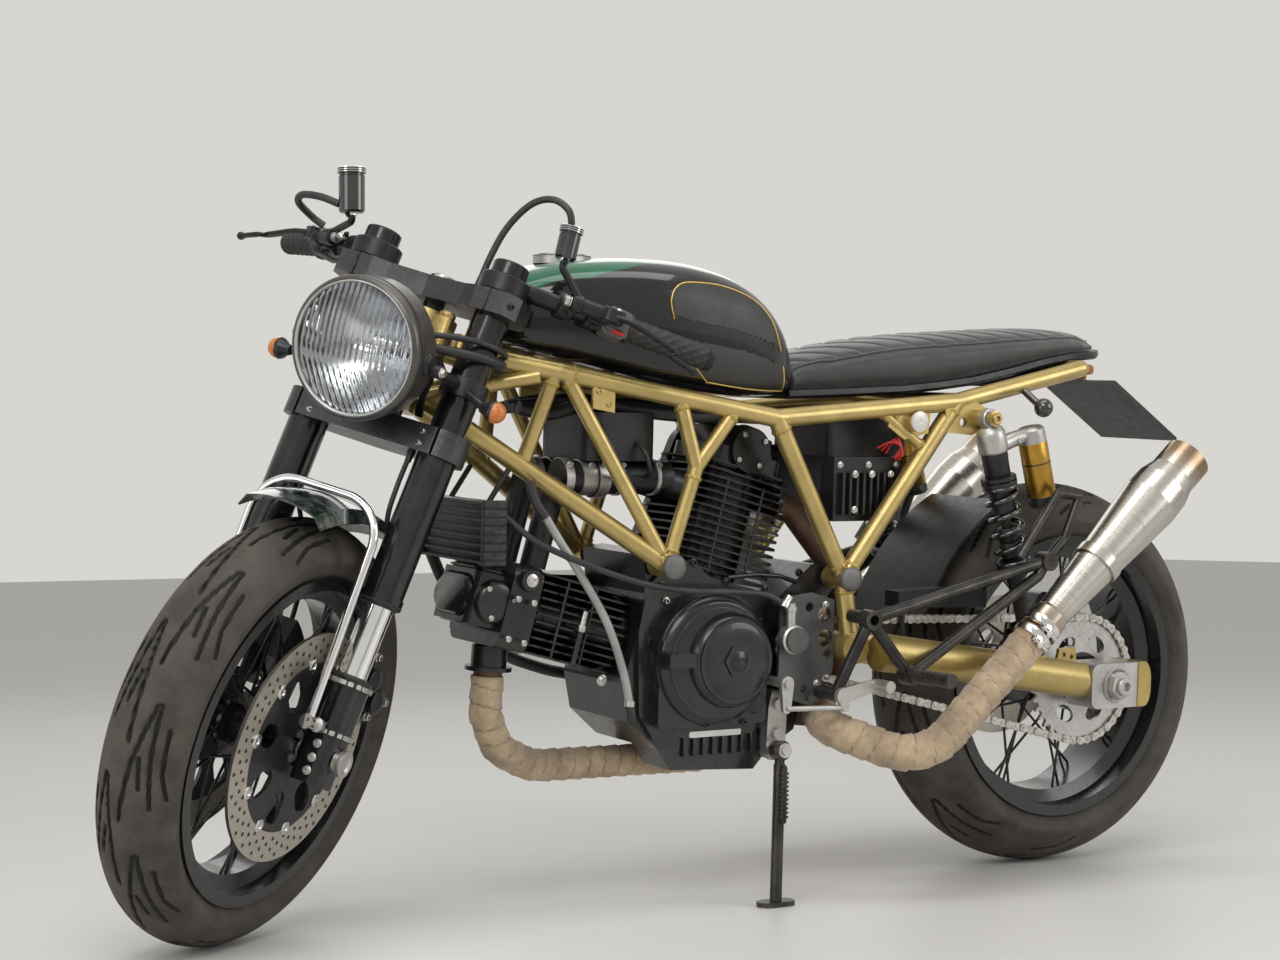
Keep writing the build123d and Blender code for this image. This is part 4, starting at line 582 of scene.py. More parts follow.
# Finishes for the CAD nodes whose shape stays.
for finish, names in (
    (gold, "frame"), (gold_rear, "swingarm"), (black_cast, "crankcase left_cover right_cover rear_caliper"),
    (fin_black, "front_cylinder rear_cylinder"), (billet, "upper_clamp lower_clamp"),
    (grey_plate, "sprocket_cover"), (cast_silver,
    "rear_axle foot_controls stand_bracket fuel_cap front_sprocket rear_sprocket"),
    (fork_black, "fork_legs"), (chrome, "stanchions guard_stay"), (bright_steel, "front_spindle"),
    (satin_black, "calipers lamp_brackets handlebars intakes electrics front_carriers"),
    (satin_black, "tail_tray hugger"), (tube_black, "rearsets stand_leg"),
    (hose_rubber, "hoses steer_hoses"), (cooler_black, "oil_cooler"), (rusty, "headers link_pipes"),
    (make_silencer(), "silencers"), (make_disc(), "front_discs rear_disc"),
    (rim_paint, "front_rim rear_rim"), (shell_paint, "lamp_shell"), (make_guard(), "mudguard"),
    (make_amber(), "front_indicators tail_lamp"), (gloss_black, "rear_indicators"),
    (gold_anodised, "shock_reservoirs"), (tyre_rubber, "front_tyre rear_tyre"), (leather, "seat"),
    (chain_steel, "chain"), (rubber, "grips"), (satin_black, "shocks"), (gloss_black, "tank"),
    (ring_silver, "lamp_glass"),
):
    for name in names.split():
        materials = nodes[name].data.materials
        materials.clear()
        materials.append(finish.mat)


# Tyres: tread grooves cut into a turned skin, with rings and fine ribs on the sidewall.
groove_half, groove_edge, groove_deep = 2.7, 1.6, 4
bead_reach, wall_foot, tread_steps, wall_steps, wall_ribs = 219.3, 232, 64, 12, 180


def groove_cut(along, across, pitch, strokes):
    """How fully the tread is cut at a point, from the nearest stroke of the pattern."""
    nearest = 1e9
    for shift in (-pitch, 0, pitch):
        for (u0, v0), (u1, v1) in strokes:
            px, py = along - u0 - shift, across - v0
            sx, sy = u1 - u0, v1 - v0
            t = max(0.0, min(1.0, (px * sx + py * sy) / (sx * sx + sy * sy)))
            nearest = min(nearest, hypot(px - t * sx, py - t * sy))
    return max(0.0, min(1.0, (groove_half + 1 - nearest) / groove_edge))


def tyre_section(radius, width, crown, heel):
    """The section from bead to bead as (radius, y, place across the tread or None)."""
    half = width / 2
    lean, shoulder = asin(half / crown), radius - crown + sqrt(crown**2 - half**2)
    tread, wall = [], []
    for step in range(tread_steps + 1):
        angle = lean * (2 * step / tread_steps - 1)
        tread.append((radius - crown + crown * cos(angle), crown * sin(angle), angle * crown))
    for step in range(1, wall_steps + 1):
        t = step / wall_steps
        bow = 4 * t * (1 - t) * 0.2 * (half - heel)
        wall.append((shoulder + (wall_foot - shoulder) * t, half + (heel - half) * t + bow, None))
    far = [(r, -y, None) for r, y, _ in reversed(wall)]
    return [(bead_reach, -heel, None)] + far + tread + wall + [(bead_reach, heel, None)], shoulder


def make_tyre(name, node, body, place, radius, width, crown, rim_width, repeats, fine, strokes):
    """The tread's pattern goes round in repeats, each of as many fine steps."""
    section, shoulder = tyre_section(radius, width, crown, rim_width / 2 - 0.3)
    around, pitch = repeats * fine, 2 * pi * radius / repeats
    cut = {}
    for s in range(fine):
        for index, (_, _, across) in enumerate(section):
            if across is not None:
                along = (s * pitch / fine + (0 if across > 0 else pitch / 2)) % pitch
                cut[s, index] = groove_cut(along, abs(across), pitch, strokes)
    rows = []
    for s in range(around):
        angle = 2 * pi * s / around
        row = []
        for index, (r, y, across) in enumerate(section):
            if across is None:
                share = (r - wall_foot) / (shoulder - wall_foot)
                rib = 0.7 * (0.5 + 0.5 * cos(angle * wall_ribs)) if 0.62 < share < 0.74 else 0.0
                step_out = 0.8 if 0.3 < share < 0.36 or 0.8 < share < 0.84 else 0.0
                y += (rib + step_out) * (1 if y > 0 else -1)
            else:
                r -= cut[s % fine, index] * groove_deep
            row.append((r * cos(angle), r * sin(angle), y))
        rows.append(row)
    shape = Shape(place).rings(rows, close_ends=False, close_loop=False, wrap=True)
    mesh = shape.make(name, body, tyre_rubber, 50, (node,)).data
    # The cut depth is kept as a colour attribute, from which the tyre finish paints shade into the grooves.
    depth = mesh.color_attributes.new("cut", "FLOAT_COLOR", "POINT")
    for index, entry in enumerate(depth.data):
        value = cut.get((index // len(section) % fine, index % len(section)), 0)
        entry.color = (value, value, value, 1)
    face = mesh.polygons[40]
    if face.normal.dot(mesh.vertices[face.vertices[0]].co - place.translation) < 0:
        mesh.flip_normals()


front_strokes = [
    ((172, 2), (90, 9)), ((90, 9), (14, 22)), ((14, 22), (12, 27)), ((12, 27), (80, 32)),
    ((80, 32), (150, 41)), ((84, 18), (124, 24)), ((40, 46), (100, 50)), ((100, 50), (136, 61)),
]
rear_strokes = [
    ((140, 6), (80, 16)), ((80, 16), (20, 34)), ((20, 34), (18, 42)), ((18, 42), (80, 54)),
    ((80, 54), (140, 70)), ((84, 30), (120, 38)), ((40, 70), (96, 80)), ((96, 80), (130, 96)),
]
make_tyre("front_tread", "front_tyre", "front_wheel", front_wheel, front_radius, 120, 64, 92, 9, 78,
    front_strokes)
make_tyre("rear_tread", "rear_tyre", "rear_wheel", rear_wheel, rear_radius, 178, 98, 146, 10, 60,
    rear_strokes)

# Chain: figure-eight side plates and pins at every link of the loop.
chain_pitch, chain_y, rear_teeth, front_teeth = 15.875, 110, 40, 15
rear_reach, front_reach = chain_pitch / 2 / sin(pi / rear_teeth), chain_pitch / 2 / sin(pi / front_teeth)
front_x, front_z = 562, 392
run_length, run_angle = hypot(front_x, front_z - rear_radius), atan2(front_z - rear_radius, front_x)
spread = asin((rear_reach - front_reach) / run_length)
free_run = sqrt(run_length**2 - (rear_reach - front_reach) ** 2)
top, low = run_angle + pi / 2 - spread, run_angle - pi / 2 + spread
front_arc, rear_arc = front_reach * (top - low), rear_reach * (2 * pi - (top - low))
loop = 2 * free_run + front_arc + rear_arc
links = 2 * round(loop / chain_pitch / 2)


def rear_point(angle):
    return Vector((rear_reach * cos(angle), rear_radius + rear_reach * sin(angle)))


def front_point(angle):
    return Vector((front_x + front_reach * cos(angle), front_z + front_reach * sin(angle)))


def chain_point(length):
    """A point of the pitch line, starting where the upper run leaves the rear sprocket."""
    length %= loop
    if length < free_run:
        return rear_point(top) + length * Vector((sin(top), -cos(top)))
    length -= free_run
    if length < front_arc:
        return front_point(top - length / front_reach)
    length -= front_arc
    if length < free_run:
        return front_point(low) + length * Vector((sin(low), -cos(low)))
    return rear_point(low - (length - free_run) / rear_reach)


def link_outline(span, reach=6.6, waist=4.6):
    """A side plate from the pin at 0 to the pin at span."""
    outline = []
    for centre, first, middle in ((0, pi / 2, -waist), (span, -pi / 2, waist)):
        for s in range(7):
            turn = first + pi * s / 6
            outline.append((centre + reach * cos(turn), reach * sin(turn)))
        outline.append((span / 2, middle))
    return outline


chain = Shape(bike)
for link in range(links):
    pin, run = chain_point(loop * link / links), chain_point(loop * (link + 1) / links)
    run -= pin
    way = run.normalized()
    turned = [
        (pin.x + u * way.x - v * way.y, pin.y + u * way.y + v * way.x) for u, v in link_outline(run.length)
    ]
    gap = 4.6 if link % 2 else 6.6
    for side in (1, -1):
        chain.prism(turned, gap, gap + 1.9, lambda u, v, w, side=side: (u, chain_y + side * w, v))
    for half, reach in ((9.3, 2.6), (4.4, 4.2)):
        chain.rod((pin.x, chain_y - half, pin.y), (pin.x, chain_y + half, pin.y), reach, 8)
chain.make("chain_links", "root", chain_steel, 40, ("chain",))


def wound(base, pitch):
    """Radius of a pipe in overlapping turns of heat wrap: every turn laps over the one before."""
    def reach(length, angle):
        turn = (length / pitch + angle / (2 * pi)) % 1
        lap = 1.4 if turn < 0.1 else 0
        return base + 2.4 * turn + 0.35 * noise.noise((length * 0.12, angle * 2, 3)) - lap
    return reach


# The engine's own frame: its front bore leans up from level by the tilt.
tilt, crank = radians(15), Vector((712, 0, 375))


def engine_point(along, across, up):
    """A point by the front bore, across the bike and square to the bore."""
    return crank + Vector((along * cos(tilt) - up * sin(tilt), across, along * sin(tilt) + up * cos(tilt)))


# Heat wrap on the front header and both link pipes.
port_way = Vector((2, 0, -36)).normalized()
start = engine_point(318, 0, -60) + port_way * 36
front_route = [
    start + port_way * 8, start + port_way * 62, (1012, -14, 246), (940, -40, 212), (640, -48, 206),
    (560, -44, 216),
]
link_corner = silencer_start - silencer_way * 285
wraps = Shape(bike)
wraps.tube(smooth_path(front_route, [26, 58, 90, 60], 3), wound(22.4, 27), 40)
for side in (1, -1):
    route = [(498, 70, 288), (540, 150, 272), tuple(link_corner), tuple(silencer_start - silencer_way * 22)]
    path = smooth_path(aside([(x, y, z) for x, y, z in route], side), [42, 90], 3)
    wraps.tube(path[6:], wound(26.2, 28), 44)
wraps.make("pipe_wrap", "root", wrap, 60)

# Clamps where each silencer begins, with the lug and bolt that draw each one tight.
clamps = Shape(bike)
clamp_profile = [(-8, 29.4), (-7, 31), (-5.5, 30.2), (0, 30.6), (5.5, 30.2), (7, 31), (8, 29.4)]
for side in (1, -1):
    at, out = Vector((silencer_start.x, side * silencer_start.y, silencer_start.z)), Vector((12, 0, 10))
    for along in (-14, 10):
        clamps.spin(at + silencer_way * along, silencer_way, clamp_profile, 48)
        lug = at + silencer_way * along + Vector((8, side * 30, -6))
        clamps.rod(lug - silencer_way * 7, lug + silencer_way * 7, 4.5)
        clamps.rod(lug - out, lug + out, 2.6)
        clamps.bolt(lug + out, out, 4.5, 4)
clamps.make("pipe_clamps", "root", bright_steel, 40)

# Tank: a crowned skin through the sections, with a matt knee panel inside a gold line.
tank_sections = [
    # x, half width, floor, top, corner radius
    (591, 101, 767, 852, 30), (608, 111, 765, 886, 34), (640, 122, 764, 919, 40), (690, 130, 767, 945, 46),
    (760, 135, 775, 960, 52), (840, 132, 788, 963, 54), (915, 117, 803, 958, 52), (975, 99, 815, 948, 46),
    (1020, 78, 825, 932, 38), (1044, 58, 833, 916, 30), (1060, 38, 841, 900, 22), (1066, 22, 851, 886, 14),
]


def section_point(half, low, high, angle, crown):
    """A point of a soft rounded section: full at the sides, drawn in above and below."""
    c, d = cos(angle), sin(angle)
    power = 0.52 if d > 0 else 0.34
    y = half * (1 if c > 0 else -1) * abs(c) ** power
    z = (low + high) / 2 + (high - low) / 2 * (1 if d > 0 else -1) * abs(d) ** (power + 0.14)
    return y, z - crown * (y / half) ** 2 * max(0, d)


stations = smooth_loop([(x, half, low) for x, half, low, high, corner in tank_sections], 72, False)
tops = smooth_loop([(x, high, corner) for x, half, low, high, corner in tank_sections], 72, False)
tank_rows = []
for (x, half, low), (_, high, corner) in zip(stations, tops):
    tank_rows.append([(x, *section_point(half, low, high, 2 * pi * k / 96, 6)) for k in range(96)])
first, last = tank_rows[0], tank_rows[-1]
for row, share in ((first, 0.9), (last, 0.6)):
    middle = Vector((row[0][0], 0, sum(p[2] for p in row) / len(row)))
    shift = -2 if row is first else 1.5
    ring = [tuple(middle + (Vector(p) - middle) * share + Vector((shift, 0, 0))) for p in row]
    tank_rows = [ring] + tank_rows if row is first else tank_rows + [ring]
Shape(bike).rings(tank_rows).make("tank_skin", "root", make_tank_paint(), 60, ("tank",))


def tank_side(x, z, side):
    """The skin's width at a point of its side wall."""
    pairs = list(zip(tank_rows[1:-2], tank_rows[2:-1]))
    a, b = min(pairs, key=lambda pair: abs((pair[0][0][0] + pair[1][0][0]) / 2 - x))
    share = (x - a[0][0]) / (b[0][0] - a[0][0])
    ring, reach = [Vector(p).lerp(Vector(q), share) for p, q in zip(a, b)], 0
    for p, q in zip(ring, ring[1:]):
        if p.y > 20 and q.y > 20 and (p.z - z) * (q.z - z) <= 0 and p.z != q.z:
            reach = max(reach, p.lerp(q, (z - p.z) / (q.z - p.z)).y)
    return reach * side


knee = [
    (824, 0, 888), (823, 0, 908), (814, 0, 920), (798, 0, 927), (770, 0, 928), (736, 0, 926), (696, 0, 917),
    (664, 0, 903), (641, 0, 881), (626, 0, 850), (613, 0, 812), (605, 0, 778), (608, 0, 774), (674, 0, 776),
    (744, 0, 784), (752, 0, 786), (779, 0, 806), (806, 0, 838),
]
knee = smooth_loop(knee, 120)
knee_middle = Vector((715, 0, 850))
panel, line = Shape(bike), Shape(bike)
for side in (1, -1):
    rows = []
    for share in [1.0, 0.985] + [0.95 - 0.045 * k for k in range(21)]:
        ring = [knee_middle.lerp(point, share) for point in knee]
        lift = 0.05 if share == 1.0 else 1.2
        rows.append([(p.x, tank_side(p.x, p.z, side) + side * lift, p.z) for p in ring])
    panel.rings(rows, close_ends=False)
    end = len(panel.points)
    panel.faces.append(tuple(range(end - len(knee), end)))
    rim = [Vector((p.x, tank_side(p.x, p.z, side) + side * 1.2, p.z)) for p in knee]
    line.tube(rim + [rim[0]], 1.15, 8, False)
panel.make("knee_panels", "root", knee_matt, 60)
line.make("tank_line", "root", pin_gold, 60)
cap, cap_x, cap_z = Shape(bike), 930, 961.5
for turn in range(6):
    angle = pi / 3 * turn
    cap.bolt((cap_x + 34 * cos(angle), 34 * sin(angle), cap_z + 1.1), Z, 2.6, 1.6, washer=False)
cap.spin((cap_x, 0, cap_z), Z, [(0, 42.5), (1, 42.5), (1.6, 41), (1.2, 38), (0.4, 30), (0.4, 12)], 60)
cap.make("cap_trim", "root", billet, 40)

# Seat: a pad blown up as cloth, then pleated in chevrons inside a piped edge.
seat_rear, seat_front, piped_share, pleat_pitch, pleat_slant = -82, 582, 0.80, 46, 0.83
seat_sections = [
    # x, half width, floor, top
    (582, 94, 770, 816), (540, 99, 772, 828), (498, 103, 774, 838), (430, 108, 778, 851),
    (376, 110, 781, 859), (310, 112, 788, 866), (240, 112, 797, 871), (160, 110, 813, 877),
    (90, 107, 829, 881), (30, 102, 839, 882), (-15, 93, 843, 879), (-46, 78, 845, 871),
    (-70, 58, 847, 863), (-82, 36, 849, 858),
]


def seat_at(x):
    """Half width, floor and top of the seat at a station."""
    for a, b in zip(seat_sections, seat_sections[1:]):
        if b[0] <= x <= a[0]:
            share = (a[0] - x) / (a[0] - b[0])
            return [p + (q - p) * share for p, q in zip(a[1:], b[1:])]
    return list((seat_sections[0] if x > 0 else seat_sections[-1])[1:])


seat_rows = []
for point in smooth_loop([(x, half, low) for x, half, low, high in seat_sections], 60, False):
    half, low, high = seat_at(max(seat_rear, min(seat_front, point.x)))
    ring = [section_point(half - 4, low + 3, high - 4, 2 * pi * k / 64, 15) for k in range(64)]
    seat_rows.append([(point.x, y, z) for y, z in ring])
seat = Shape(bike).rings(seat_rows).make("seat_pad", "root", leather, 180, ("seat",))


def apply_all(piece):
    """Turn what a piece's modifiers show into its own mesh."""
    bpy.context.view_layer.update()
    shape = bpy.data.meshes.new_from_object(piece.evaluated_get(bpy.context.evaluated_depsgraph_get()))
    piece.modifiers.clear()
    piece.data = shape


def remesh(piece, size):
    change = piece.modifiers.new("remesh", "REMESH")
    change.mode, change.voxel_size = "VOXEL", size
    apply_all(piece)


def inflate(piece, cap, pressure=4):
    """Blow a pad up as cloth, then hold every point within the cap of where it was."""
    before = [vertex.co.copy() for vertex in piece.data.vertices]
    cloth = piece.modifiers.new("cloth", "CLOTH")
    cloth.settings.use_pressure = True
    cloth.settings.uniform_pressure_force = pressure
    cloth.settings.effector_weights.gravity = 0
    cloth.settings.quality = 4
    cloth.point_cache.frame_start, cloth.point_cache.frame_end = 1, 20
    scene = bpy.context.scene
    for step in range(1, 21):
        scene.frame_set(step)
    apply_all(piece)
    for vertex, start in zip(piece.data.vertices, before):
        move = vertex.co - start
        if move.length > cap:
            vertex.co = start + move.normalized() * cap
    scene.frame_set(1)


remesh(seat, 0.005)
inflate(seat, 0.006)
divide = seat.modifiers.new("divide", "SUBSURF")
divide.levels = divide.render_levels = 1
apply_all(seat)
to_bike = bike.inverted()
up_way = (bike.to_3x3() @ Z).normalized()
for vertex in seat.data.vertices:
    point = to_bike @ vertex.co
    half, low, high = seat_at(max(seat_rear, min(seat_front, point.x)))
    inside = half * piped_share - 2 - abs(point.y)
    if point.z > (low + high) / 2 and inside > 0 and seat_rear + 30 < point.x < seat_front - 10:
        along = (point.x + pleat_slant * abs(point.y)) / pleat_pitch
        nearest = abs(along - round(along)) * pleat_pitch
        fade = min(1.0, inside / 5, (point.x - seat_rear - 30) / 14)
        point.z += fade * (1.4 * min(1.0, nearest / 12) - 3.2 * exp(-((nearest / 2.6) ** 2)))
    point.z = max(point.z, low + 0.5)
    vertex.co = bike @ point
seat.data.materials.clear()
seat.data.materials.append(leather.mat)
for face in seat.data.polygons:
    face.use_smooth = True
seat_tree = BVHTree.FromPolygons([v.co for v in seat.data.vertices],
    [list(f.vertices) for f in seat.data.polygons])
pan_rows = []
for x, half, low, high in seat_sections:
    edge = [(half - 5, low + 5), (half - 4, low - 3), (half - 9, low - 8)]
    pan_rows.append([(x, y, z) for y, z in edge] + [(x, -y, z) for y, z in reversed(edge)])
Shape(bike).rings(pan_rows).make("seat_pan", "root", satin_black, 50)
piping = Shape(bike)
for side in (1, -1):
    seam = []
    for step in range(150):
        x = 574 - step * 4.12
        half, low, high = seat_at(x)
        y = half * piped_share * (1 if x > -20 else sqrt(max(0.02, 1 - ((-20 - x) / 34) ** 2)))
        hit = seat_tree.ray_cast(bike @ Vector((x, side * y, 960)), -up_way)[0]
        if hit:
            seam.append(to_bike @ hit + Vector((0, 0, 0.6)))
    piping.tube(seam, 2.1, 8)
piping.make("seat_piping", "root", leather, 60)

# Headlamp: a fluted lens in front of a bright bowl, its bulb and a pale ring.
lens_reach = 88.5


def lens_front(r):
    return 5 + 13 * (1 - (r / lens_reach) ** 2)


def flute(x, y):
    """Depth of the pressed ribs: upright above, slanted at the edges, clear in the middle."""
    if hypot(x, y) > 84:
        return 0
    if y > 8:
        return 0.9 * abs(sin(pi * x / 8.5))
    if y < -30:
        return 0.9 * abs(sin(pi * (x * 0.8 + abs(y) * 0.35) / 9))
    if abs(x) > 40:
        return 0.7 * abs(sin(pi * (x + y * 0.4) / 8))
    return 0.25 * abs(sin(pi * y / 11))


lens, bowl = Shape(lamp_frame), Shape(lamp_frame)
radii = [lens_reach * (1 - (k / 44)) ** 0.9 for k in range(44)] + [0.6]
front, inner = [], []
for r in radii:
    ring = [(r * cos(2 * pi * k / 150), r * sin(2 * pi * k / 150)) for k in range(150)]
    front.append([(x, y, lens_front(r)) for x, y in ring])
    inner.append([(x, y, lens_front(r) - 4.2 - flute(x, y)) for x, y in ring])
lens.rings(front[::-1] + inner).make("lamp_lens", "steering", make_glass(), 40, ("lamp_glass",))
bowl_profile = [(-1, 88.6), (-3, 88.6), (-4, 86)]
bowl_profile += [(-4 - 58 * (1 - ((86 - 6 * k) / 86) ** 2), 86 - 6 * k) for k in range(1, 12)]
bowl_profile += [(-62, 16), (-64, 13)]
bowl.spin((0, 0, 0), Z, bowl_profile + [(-66, 13), (-66, 20), (-8, 88), (-1, 90)], 90, True)
bowl.make("lamp_bowl", "steering", make_reflector(), 30)
bulb = Shape(lamp_frame)
bulb.spin((0, 0, 0), Z, [(-64, 12), (-60, 12), (-58, 9), (-40, 9), (-34, 8), (-28, 5), (-26, 1)], 30)
bulb.slab((0, -2, -34), X, Y, 26, 4, -2, 12, 1.5, 0.5)
bulb.make("lamp_bulb", "steering", chrome, 40)
bezel = Shape(lamp_frame)
ring_profile = [
    (-6, 97.2), (2, 98.2), (6, 97.6), (9.5, 95.5), (11, 92.5), (10, 89.8), (7, 88.2), (5, 88.2), (4, 92),
    (-6, 96),
]
bezel.spin((0, 0, 0), Z, ring_profile, 120, True)
bezel.bolt((0, -99, 2), -Y, 3, 3)
bezel.make("lamp_ring", "steering", shell_paint, 40)
edge = Shape(lamp_frame)
edge.spin((0, 0, 0), Z, [(8, 91.6), (10.4, 91.4), (10.8, 90), (9.4, 88.6), (7, 88)], 120, True)
edge.make("lamp_edge", "steering", ring_silver, 40)
band = Shape(lamp_frame)
band.spin((0, 0, 0), Z, [(-12, 97), (-11, 98), (-8, 98), (-7, 97.4)], 120, True)
for side in (1, -1):
    band.spin((side * 96, 0, -30), side * X, [(0, 16), (3, 15), (5, 12), (6, 12)], 24)
band.make("lamp_band", "steering", satin_black, 40)

# Shocks: silver cap, dark body with a locking ring, and an open spring round the damper rod.
shock_top, shock_foot, shock_y, can_way = (254, 739), (159, 388), 160, (-30, 0, -110)
caps, bodies, springs, cylinders, bands = (Shape(bike) for _ in range(5))
eye_profile = [(0, 8.2), (0, 14), (1.5, 15.4), (16.5, 15.4), (18, 14), (18, 8.2)]
for side in (1, -1):
    top, foot = (Vector((x, side * shock_y, z)) for x, z in (shock_top, shock_foot))
    can = (166, side * (shock_y + 2), 714)
    way = (foot - top).normalized()
    for eye in (top, foot):
        caps.spin(eye - Vector((0, 9, 0)), Y, eye_profile, 32)
    caps.spin(top, way, [(10, 6), (12, 13), (17, 20), (24, 23), (34, 23.6), (50, 23.6), (54, 22.6),
        (56, 20)], 40)
    caps.spin(foot, way, [(-30, 6), (-27, 10), (-20, 12), (-12, 10)], 24)
    bodies.spin(top, way, [(54, 19.6), (55, 20.6), (92, 20.2), (94, 19), (150, 18.6), (152, 9)], 40)
    for low in (93, 101):
        bodies.spin(top, way, [(low, 20), (low + 0.6, 27), (low + 6, 27.4), (low + 6.6, 20)], 36)
    for turn in range(8):
        angle = pi / 4 * turn
        across = way.orthogonal().normalized()
        out = across * cos(angle) + way.cross(across) * sin(angle)
        bodies.slab(top + way * 100 + out * 27, way, way.cross(out), 12, 3, -1, 1.4, 0.8, 0.3)
    bodies.spin(top, way, [(150, 8.2), (332, 8.2), (333, 7)], 20)
    bodies.spin(top, way, [(176, 15), (180, 17), (196, 17), (200, 15), (206, 17), (222, 17), (226, 12)], 28)
    bodies.spin(top, way, [(235, 12), (236, 27), (242, 28), (248, 24), (262, 14), (340, 11)], 36)
    springs.coil(top + way * 111, top + way * 232, 23.6, 4.6, 6.2)
    cylinders.spin(can, can_way, [(10, 12), (11, 22), (13, 22.6), (98, 22.6), (100, 21.4)], 40)
    bands.spin(can, can_way, [(98, 22), (100, 23), (112, 23), (114.5, 20), (114.5, 6)], 40)
    bands.spin(can, can_way, [(44, 22.5), (44.4, 22.9), (46, 22.9), (46.4, 22.5)], 40)
    caps.spin(can, can_way, [(-15, 6), (-13, 17), (-9, 21.5), (8, 22.2), (12, 22.2), (13, 18)], 40)
    arm = smooth_path(aside([(238, 162, 694), (206, 162, 706), (168, 162, 716)], side), [60], 4)
    caps.tube(arm, lambda length, angle: 13 - 0.02 * length, 20)
    caps.bolt((200, side * 174, 706), side * Y, 4, 3)
caps.make("shock_caps", "root", cast_silver, 40, ("shocks", "shock_reservoirs"))
bodies.make("shock_bodies", "root", satin_black, 35, ("shocks",))
springs.make("shock_springs", "root", gloss_black, 60, ("shocks",))
cylinders.make("reservoir_tubes", "root", gold_anodised, 40, ("shock_reservoirs",))
bands.make("reservoir_bands", "root", satin_black, 40, ("shock_reservoirs",))

# Bolts, caps and ribs of the engine's left side, each at its place on the castings.
engine = Shape(bike)
for x, y, z in (
    (751, 96, 520), (692, 96, 491), (806, 96, 488), (798, 96, 464), (783, 96, 446), (824, 96, 408),
    (800, 118.5, 330), (804, 96, 284), (737, 118.5, 284), (670, 118.5, 284), (554, 88, 500), (622, 96, 478),
    (628, 96, 430), (628, 96, 404),
):
    engine.bolt((x, y - 1, z), Y, 4.6, 6, 54)
engine.make("engine_bolts", "root", bolt_black, 35)
silver_bolts = Shape(bike)
for x, y, z, size in (
    (797, 96, 465, 4.4), (535, 131, 455, 4), (548, 131, 337, 4), (600, 131, 456, 4.5), (604, 131, 338, 4.5),
    (895, 83, 352, 6), (528, 131, 345, 3.4),
):
    silver_bolts.bolt((x, y, z), Y, size, 5, 54)
for x, z in ((404, 650), (440, 650), (472, 650), (404, 596), (472, 596)):
    silver_bolts.bolt((x, 112.5, z), Y, 4.2, 4, 54)
silver_bolts.make("silver_bolts", "root", bolt_steel, 35)

# Clutch slave: a bright stepped puck with its banjo above it.
slave = Shape(bike)
slave.spin((601, 131, 406), Y, [(0, 21), (4, 22), (17, 22), (20, 19.5), (20, 13), (18, 12.5), (18, 9),
    (22, 8.4), (23.5, 6), (23.5, 3)], 44)
slave.spin((605, 142, 422), (0.02, 0, 1), [(0, 7.4), (26, 7.4), (27, 9), (33, 9), (34, 7), (38, 7),
    (39, 5)], 24)
slave.make("slave_cylinder", "root", cast_silver, 35)

# Cover ribs: two arcs and a plate on the alternator cover, fins and a pale strip on the sump.
ribs = Shape(bike)
arc = [(728 + 93 * cos(a), 118, 378 + 93 * sin(a)) for a in [radians(20 + 6 * k) for k in range(24)]]
ribs.tube(arc, 3.2, 10)
arc = [(724 + 78 * cos(a), 129.4, 378 + 78 * sin(a)) for a in [radians(38 + 6 * k) for k in range(20)]]
ribs.tube(arc, 2.4, 10)
ribs.slab((705, 155, 380), X, Z, 30, 30, -1.5, 0.8, 12, 0.8)
for k in range(9):
    ribs.slab((620 + 17 * k, 87.2, 250), Z, X, 34, 3, -1, 5, 1, 0.5)
path = smooth_path([(560, 88, 486), (592, 92, 496), (640, 96, 500), (690, 96, 497)], [30, 30], 6)
ribs.tube(path, 3.6, 10)
ribs.make("cover_ribs", "root", black_cast, 50)
strip = Shape(bike)
strip.slab((705, 96.2, 266), (1, 0, 0.04), Z, 92, 9, -1, 1.6, 2, 0.4)
strip.make("sump_strip", "root", ring_silver, 40)

# Frame: welds where tubes meet, end caps on the engine mounts, bolts in the lugs, the key.
joints = [
    # point, direction of the joining tube, its radius, how far out the weld lies
    ((983, 95, 794), (-350, 35, -60), 14, 19), ((633, 130, 734), (-132, -2, -240), 14, 19),
    ((291, 128, 763), (210, 0, -269), 14, 19), ((976, 96, 792), (-162, 26, -273), 11, 16),
    ((990, 93, 793), (32, -35, -133), 11, 16), ((794, 114, 762), (-27, 7, -101), 11, 16),
    ((701, 123, 746), (66, -2, -85), 11, 16), ((767, 121, 661), (47, 1, -142), 11, 16),
    ((447, 129, 750), (-95, -1, -60), 8, 13), ((352, 128, 690), (95, 1, 60), 8, 13),
    ((814, 122, 519), (-47, -1, 142), 11, 22), ((814, 122, 519), (162, -26, 273), 11, 22),
    ((501, 128, 494), (132, 2, 240), 14, 22), ((501, 128, 494), (-210, 0, 269), 14, 22),
    ((501, 128, 494), (-9, 12, -104), 14, 22),
]
welds = Shape(bike)
for point, way, reach, out in joints:
    for side in (1, -1):
        at, run = aside((point, way), side)
        run.normalize()
        welds.bead(at + run * out, run, reach - 0.6)
welds.make("frame_welds", "root", weld_gold, 60)
ends = Shape(bike)
for x, y, z in ((814, 142, 519), (501, 148, 494)):
    for side in (1, -1):
        ends.spin((x, side * y, z), side * Y,
            [(-4, 17.6), (0, 18.4), (4, 18.2), (7, 15.5), (8.5, 9), (8.8, 2)], 36)
ends.make("mount_caps", "root", cap_grey, 40)
lugs = Shape(bike)
for side in (1, -1):
    for x, z in ((412, 740), (360, 722)):
        lugs.bolt((x, side * 134, z), side * Y, 3.4, 3, 54)
    for x, z in ((927, 768), (910, 750)):
        lugs.bolt((x, side * 109, z), side * Y, 3.2, 3, 54)
    lugs.bolt((254, side * 178, 739), side * Y, 9, 7, 54)
    lugs.bolt((159, side * 182, 388), side * Y, 8, 6, 54)
lugs.make("lug_bolts", "root", brass, 35)
